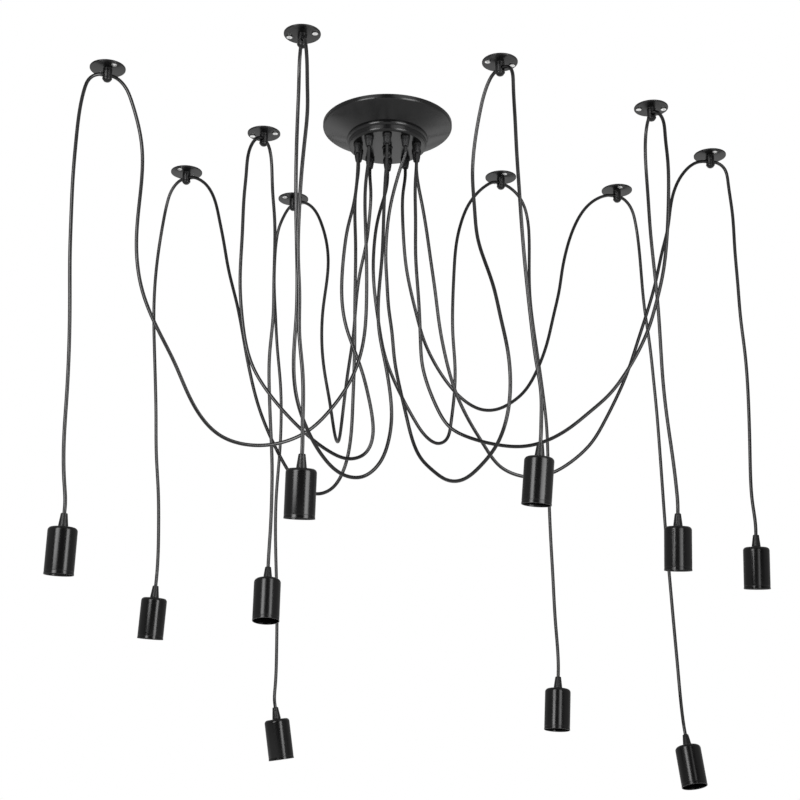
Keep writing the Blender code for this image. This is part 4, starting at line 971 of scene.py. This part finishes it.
def add_hook(number, light):
    """A ceiling hook: plate and post in one, a clamp screw from below and two plate screws."""
    place = hook_place(light)
    foot = -PLATE_THICKNESS - POST_LENGTH + CLAMP_HEIGHT
    bore = CLAMP_SHANK_RADIUS + THIN * 2
    corners = [
        (0, 0),
        (PLATE_RADIUS, 0, EDGE, RUBBED),
        (PLATE_RADIUS, -PLATE_THICKNESS, BROAD_EDGE, 1),
        (POST_RADIUS, -PLATE_THICKNESS, FULL_EDGE),
        (POST_RADIUS, foot, SOFT_EDGE, 0.8),
        (bore, foot, FINE_EDGE),
        (bore, foot + CLAMP_BORE_DEPTH),
        (0, foot + CLAMP_BORE_DEPTH),
    ]
    profile = filleted(corners)
    reach = POST_RADIUS + EYE_OVERRUN
    line = eye_place(light) + np.outer([-reach, 0, reach], heading_vector(light["heading"]))
    cutters = [tube(line, EYE_RADIUS, BORE_SIDES, np.array([0, 0, 1.0]))]
    side = heading_vector(light["screws"]) * PLATE_SCREW_SPACING / 2
    seats = {}
    for word, middle in (("left", place - side), ("right", place + side)):
        seats[word] = middle - [0, 0, PLATE_THICKNESS - PLATE_SINK_DEPTH]
        hole_foot = middle - [0, 0, PLATE_THICKNESS + PLATE_HOLE_OVERRUN]
        for radius, low, high in (
            (PLATE_HOLE_RADIUS, hole_foot, middle + [0, 0, PLATE_HOLE_OVERRUN]),
            (PLATE_SINK_RADIUS, seats[word] - [0, 0, PLATE_SINK_OVERRUN], seats[word]),
        ):
            cutters.append(tube(np.linspace(low, high, 3), radius, BORE_SIDES, np.array([1.0, 0, 0])))
    mesh = bored(lathe(profile, 96, place), cutters)
    piece(f"hook_body_{number:02d}", mesh, hook_paint, "base", [f"hook_{number:02d}"])
    mesh = clamp_screw(place, foot)
    piece(f"clamp_screw_{number:02d}", mesh, hook_paint, "base")
    shank = PLATE_THICKNESS - PLATE_SINK_DEPTH - TOUCH
    for word, seat in seats.items():
        mesh = screw(
            PLATE_SCREW_RADIUS, PLATE_SCREW_HEIGHT, PLATE_SCREW_SHANK, shank, PLATE_RECESS_WIDTH, seat
        )
        piece(f"plate_screw_{number:02d}_{word}", mesh, zinc, "base")


def clamp_screw(place, foot):
    """The screw that pinches the cord: a knurled collar with a dome below and a shank into the post."""
    collar_foot = foot - CLAMP_COLLAR_HEIGHT
    dome_radius = POST_RADIUS * CLAMP_DOME_SHARE
    dome_height = CLAMP_HEIGHT - CLAMP_COLLAR_HEIGHT
    angles = np.linspace(0, math.pi / 2, 15)[1:]
    dome = [[dome_radius * math.cos(a), collar_foot - dome_height * math.sin(a), 0] for a in angles]
    shank_top = -EYE_DEPTH - CORD_RADIUS - TOUCH
    corners = [
        (0, shank_top),
        (CLAMP_SHANK_RADIUS, shank_top, SOFT_EDGE),
        (CLAMP_SHANK_RADIUS, foot - THIN * 2),
        (CLAMP_COLLAR_RADIUS, foot - THIN * 2, EDGE, RUBBED),
        (CLAMP_COLLAR_RADIUS, collar_foot, EDGE, RUBBED),
        (dome_radius, collar_foot - THIN * 2),
    ]
    upper = filleted(corners)
    knurl = waved(dome_radius + THIN, KNURL_WAVE, lambda height, angle: KNURL_RIBS * angle)
    return lathe(np.concatenate([upper, dome]), 144, place, reshape=knurl)


# The lamps' sections are measured down from the tip of the cable cone, which is at height 0.


def shell_profile():
    """An open cylinder with a round shoulder, a fine groove and a lip that flares a little."""
    top = -CONE_HEIGHT
    foot = top - LAMP_HEIGHT
    hole = NIPPLE_RADIUS + TOUCH
    lip = LAMP_RADIUS + LAMP_LIP_FLARE
    inner = LAMP_RADIUS - LAMP_WALL
    groove = foot + LAMP_LIP_HEIGHT + LAMP_GROOVE_RISE
    corners = [
        (hole, top),
        (LAMP_RADIUS, top, LAMP_SHOULDER_RADIUS),
        (LAMP_RADIUS, groove, SOFT_EDGE),
        (LAMP_RADIUS - LAMP_GROOVE_DEPTH, groove - LAMP_GROOVE_DROP, EDGE),
        (LAMP_RADIUS, foot + LAMP_LIP_HEIGHT, SOFT_EDGE),
        (lip, foot, LAMP_LIP_EDGE, 1),
        (lip - LAMP_WALL, foot, EDGE, RUBBED),
        (inner, foot + LAMP_LIP_HEIGHT, SOFT_EDGE),
        (inner, top - LAMP_WALL, LAMP_SHOULDER_RADIUS - LAMP_WALL),
        (hole, top - LAMP_WALL),
    ]
    return filleted(corners, closed=True, steps=10)


def cone_profile():
    """The cable cone with a round tip and the cord's hole, down to the nipple under the shell's top."""
    corners = [
        (0, -CORD_HOLE_DEPTH),
        (CORD_HOLE_RADIUS, -CORD_HOLE_DEPTH),
        (CORD_HOLE_RADIUS, 0, SOFT_EDGE, 0.3),
        (CONE_TIP_RADIUS, 0, CONE_TIP_ROUND, WORN),
        (CONE_BASE_RADIUS, -CONE_HEIGHT + CONE_FOOT, ROUND_EDGE),
        (CONE_BASE_RADIUS, -CONE_HEIGHT + TOUCH, EDGE, 0.4),
        (NIPPLE_RADIUS, -CONE_HEIGHT + TOUCH),
        (NIPPLE_RADIUS, -CONE_HEIGHT - LAMP_WALL - TOUCH),
        (0, -CONE_HEIGHT - LAMP_WALL - TOUCH),
    ]
    return filleted(corners)


def insert_profile():
    """The lampholder's body inside the shell, open below for the socket."""
    radius = LAMP_RADIUS - LAMP_WALL - INSERT_CLEARANCE
    corners = [
        (0, INSERT_TOP),
        (radius, INSERT_TOP, INSERT_CHAMFER),
        (radius, INSERT_FOOT, ROUND_EDGE, RUBBED),
        (SOCKET_RADIUS, INSERT_FOOT, SOCKET_EDGE, RUBBED),
        (SOCKET_RADIUS, SOCKET_TOP, EDGE),
        (0, SOCKET_TOP),
    ]
    return filleted(corners)


def sleeve_profile():
    """The socket's thin threaded sleeve, plain here and waved by add_lamp."""
    foot = INSERT_FOOT + SLEEVE_RISE
    heights = np.linspace(foot, foot + SLEEVE_LENGTH, SLEEVE_ROWS)
    outer = [[SLEEVE_RADIUS + SLEEVE_WALL, height, 0] for height in heights]
    inner = [[SLEEVE_RADIUS, height, 0] for height in heights[::-1]]
    return np.array(outer + inner)


def contact_profile():
    """The domed centre contact at the top of the socket."""
    top = SOCKET_TOP - TOUCH / 3
    corners = [
        (0, top),
        (CONTACT_RADIUS, top, EDGE),
        (CONTACT_RADIUS, SOCKET_TOP - CONTACT_HEIGHT * 0.5, ROUND_EDGE),
        (CONTACT_RADIUS * 0.5, SOCKET_TOP - CONTACT_HEIGHT, CONTACT_EDGE),
        (0, SOCKET_TOP - CONTACT_HEIGHT),
    ]
    return filleted(corners)


def add_lamp(number, light):
    """A lamp at the end of its cord: shell, cable cone, insert, threaded sleeve and centre contact."""
    body = f"lamp_{number:02d}"
    place = DROP_POINTS[number][-1]
    thread = waved(0, SLEEVE_WAVE, lambda height, angle: math.tau * height / SLEEVE_PITCH - angle)
    shell = [f"lamp_shell_{number:02d}"]
    holder = [f"lampholder_{number:02d}"]
    for name, profile, sides, closed, reshape, material, slot, replaces in (
        ("shell", shell_profile(), 96, True, None, lamp_paint, "shell_black", shell),
        ("cable_cone", cone_profile(), 64, False, None, cone_plastic, "holder_black", holder),
        ("socket_insert", insert_profile(), 64, False, None, insert_plastic, "holder_black", holder),
        ("threaded_sleeve", sleeve_profile(), 48, True, thread, brass, "brass", ()),
        ("centre_contact", contact_profile(), 40, False, None, brass, "brass", ()),
    ):
        mesh = lathe(profile, sides, place, down_vector(light), closed, reshape)
        piece(f"{name}_{number:02d}", mesh, material, body, replaces)


# The studio: a pale floor far below, four soft lights in front and a white surround


def add_floor():
    """A floor that the camera sees white, dimmer in reflections, and that is clear from below."""
    half = FLOOR_SIZE / 2
    corners = [(x * half, y * half, FLOOR_HEIGHT) for x, y in ((-1, -1), (1, -1), (1, 1), (-1, 1))]
    mesh = bpy.data.meshes.new("floor")
    mesh.from_pydata(corners, [], [(0, 1, 2, 3)])
    material = bpy.data.materials.new("floor_white")
    material.use_nodes = True
    tree = material.node_tree
    tree.nodes.clear()
    nodes = Nodes(tree)
    camera_ray = nodes.ray("Camera")
    glossy_ray = nodes.ray("Glossy")
    clear_ray = nodes.ray("Transmission")
    place = nodes.add("ShaderNodeTexCoord", output="Object")
    away = nodes.add("ShaderNodeSeparateXYZ", None, {0: place}, output="Y")
    far = away.above(0.8, 3.6) * FLOOR_FAR_GAIN - away.above(4.5, 8) * FLOOR_END_LOSS
    level = camera_ray + (1 - camera_ray) * (far + FLOOR_LEVEL)
    plain = nodes.add("ShaderNodeBsdfDiffuse", None, {"Color": (FLOOR_TONE, FLOOR_TONE, FLOOR_TONE, 1)})
    glow = nodes.add("ShaderNodeEmission", None, {"Color": (1, 1, 1, 1), "Strength": level})
    seen = camera_ray + glossy_ray + clear_ray
    mixed = nodes.add("ShaderNodeMixShader", None, {0: seen, 1: plain, 2: glow})
    clear = nodes.add("ShaderNodeBsdfTransparent")
    behind = nodes.add("ShaderNodeNewGeometry", output="Backfacing")
    both = nodes.add("ShaderNodeMixShader", None, {0: behind, 1: mixed, 2: clear})
    out = tree.nodes.new("ShaderNodeOutputMaterial")
    tree.links.new(both.socket, out.inputs["Surface"])
    mesh.materials.append(material)
    added("floor", mesh)


def add_light(name, place, target, size, spread, power):
    data = bpy.data.lights.new(name, "AREA")
    data.shape = "RECTANGLE"
    data.size, data.size_y = size
    data.spread = math.radians(spread)
    data.energy = power
    item = added(name, data)
    item.location = place
    item.rotation_euler = (Vector(target) - Vector(place)).to_track_quat("-Z", "Y").to_euler()
    item.visible_camera = False


def add_surround():
    """White to the camera and behind the object; the room in front of it is dim in reflections."""
    world = bpy.data.worlds.new("surround")
    bpy.context.scene.world = world
    world.use_nodes = True
    tree = world.node_tree
    tree.nodes.clear()
    nodes = Nodes(tree)
    camera_ray = nodes.ray("Camera")
    glossy_ray = nodes.ray("Glossy")
    way = nodes.add("ShaderNodeTexCoord", output="Generated")
    away = nodes.add("ShaderNodeSeparateXYZ", None, {0: way}, output="Y")
    up = nodes.add("ShaderNodeSeparateXYZ", None, {0: way}, output="Z")
    low = 1 - up.above(-0.2, 0.05)
    room = away.above(-0.9, -0.35) * ROOM_SIDE_GAIN + low * away.above(0.3, 0.9) * ROOM_LOW_GAIN + ROOM_LEVEL
    level = camera_ray + (1 - camera_ray) * (glossy_ray * room + (1 - glossy_ray) * FILL_LEVEL)
    background = nodes.add("ShaderNodeBackground", None, {"Color": (1, 1, 1, 1), "Strength": level})
    out = tree.nodes.new("ShaderNodeOutputWorld")
    tree.links.new(background.socket, out.inputs["Surface"])


# The camera and the cords come first.
add_camera()
for number, light in LIGHTS.items():
    add_cords(number, light)

canopy = lathe(canopy_profile(), 192, closed=True)
piece("canopy_shell", canopy, canopy_paint, "base", ["canopy"])
for number in range(GLAND_COUNT):
    add_gland(number)
piece("finial_cap", lathe(finial_profile(), 72), finial_paint, "base", ["finial"])
add_rod()
add_lock_nut()
earth_place = (-EARTH_SCREW_OFFSET, 0, -BAR_THICKNESS - TOUCH)
earth = screw(
    EARTH_HEAD_RADIUS, EARTH_HEAD_HEIGHT, EARTH_SHANK_RADIUS, BAR_THICKNESS, EARTH_RECESS_WIDTH, earth_place
)
piece("earth_terminal_screw", earth, brass, "base", ["earth_screw"])
for node, material in (("mounting_bar", zinc), ("terminal_block", white_block)):
    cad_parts[node].data.materials.clear()
    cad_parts[node].data.materials.append(material)

for number, light in LIGHTS.items():
    add_hook(number, light)
    add_lamp(number, light)

add_floor()
for name, settings in SOFT_BOXES.items():
    add_light(name, *settings)
add_surround()
bpy.context.scene.view_settings.view_transform = "Standard"
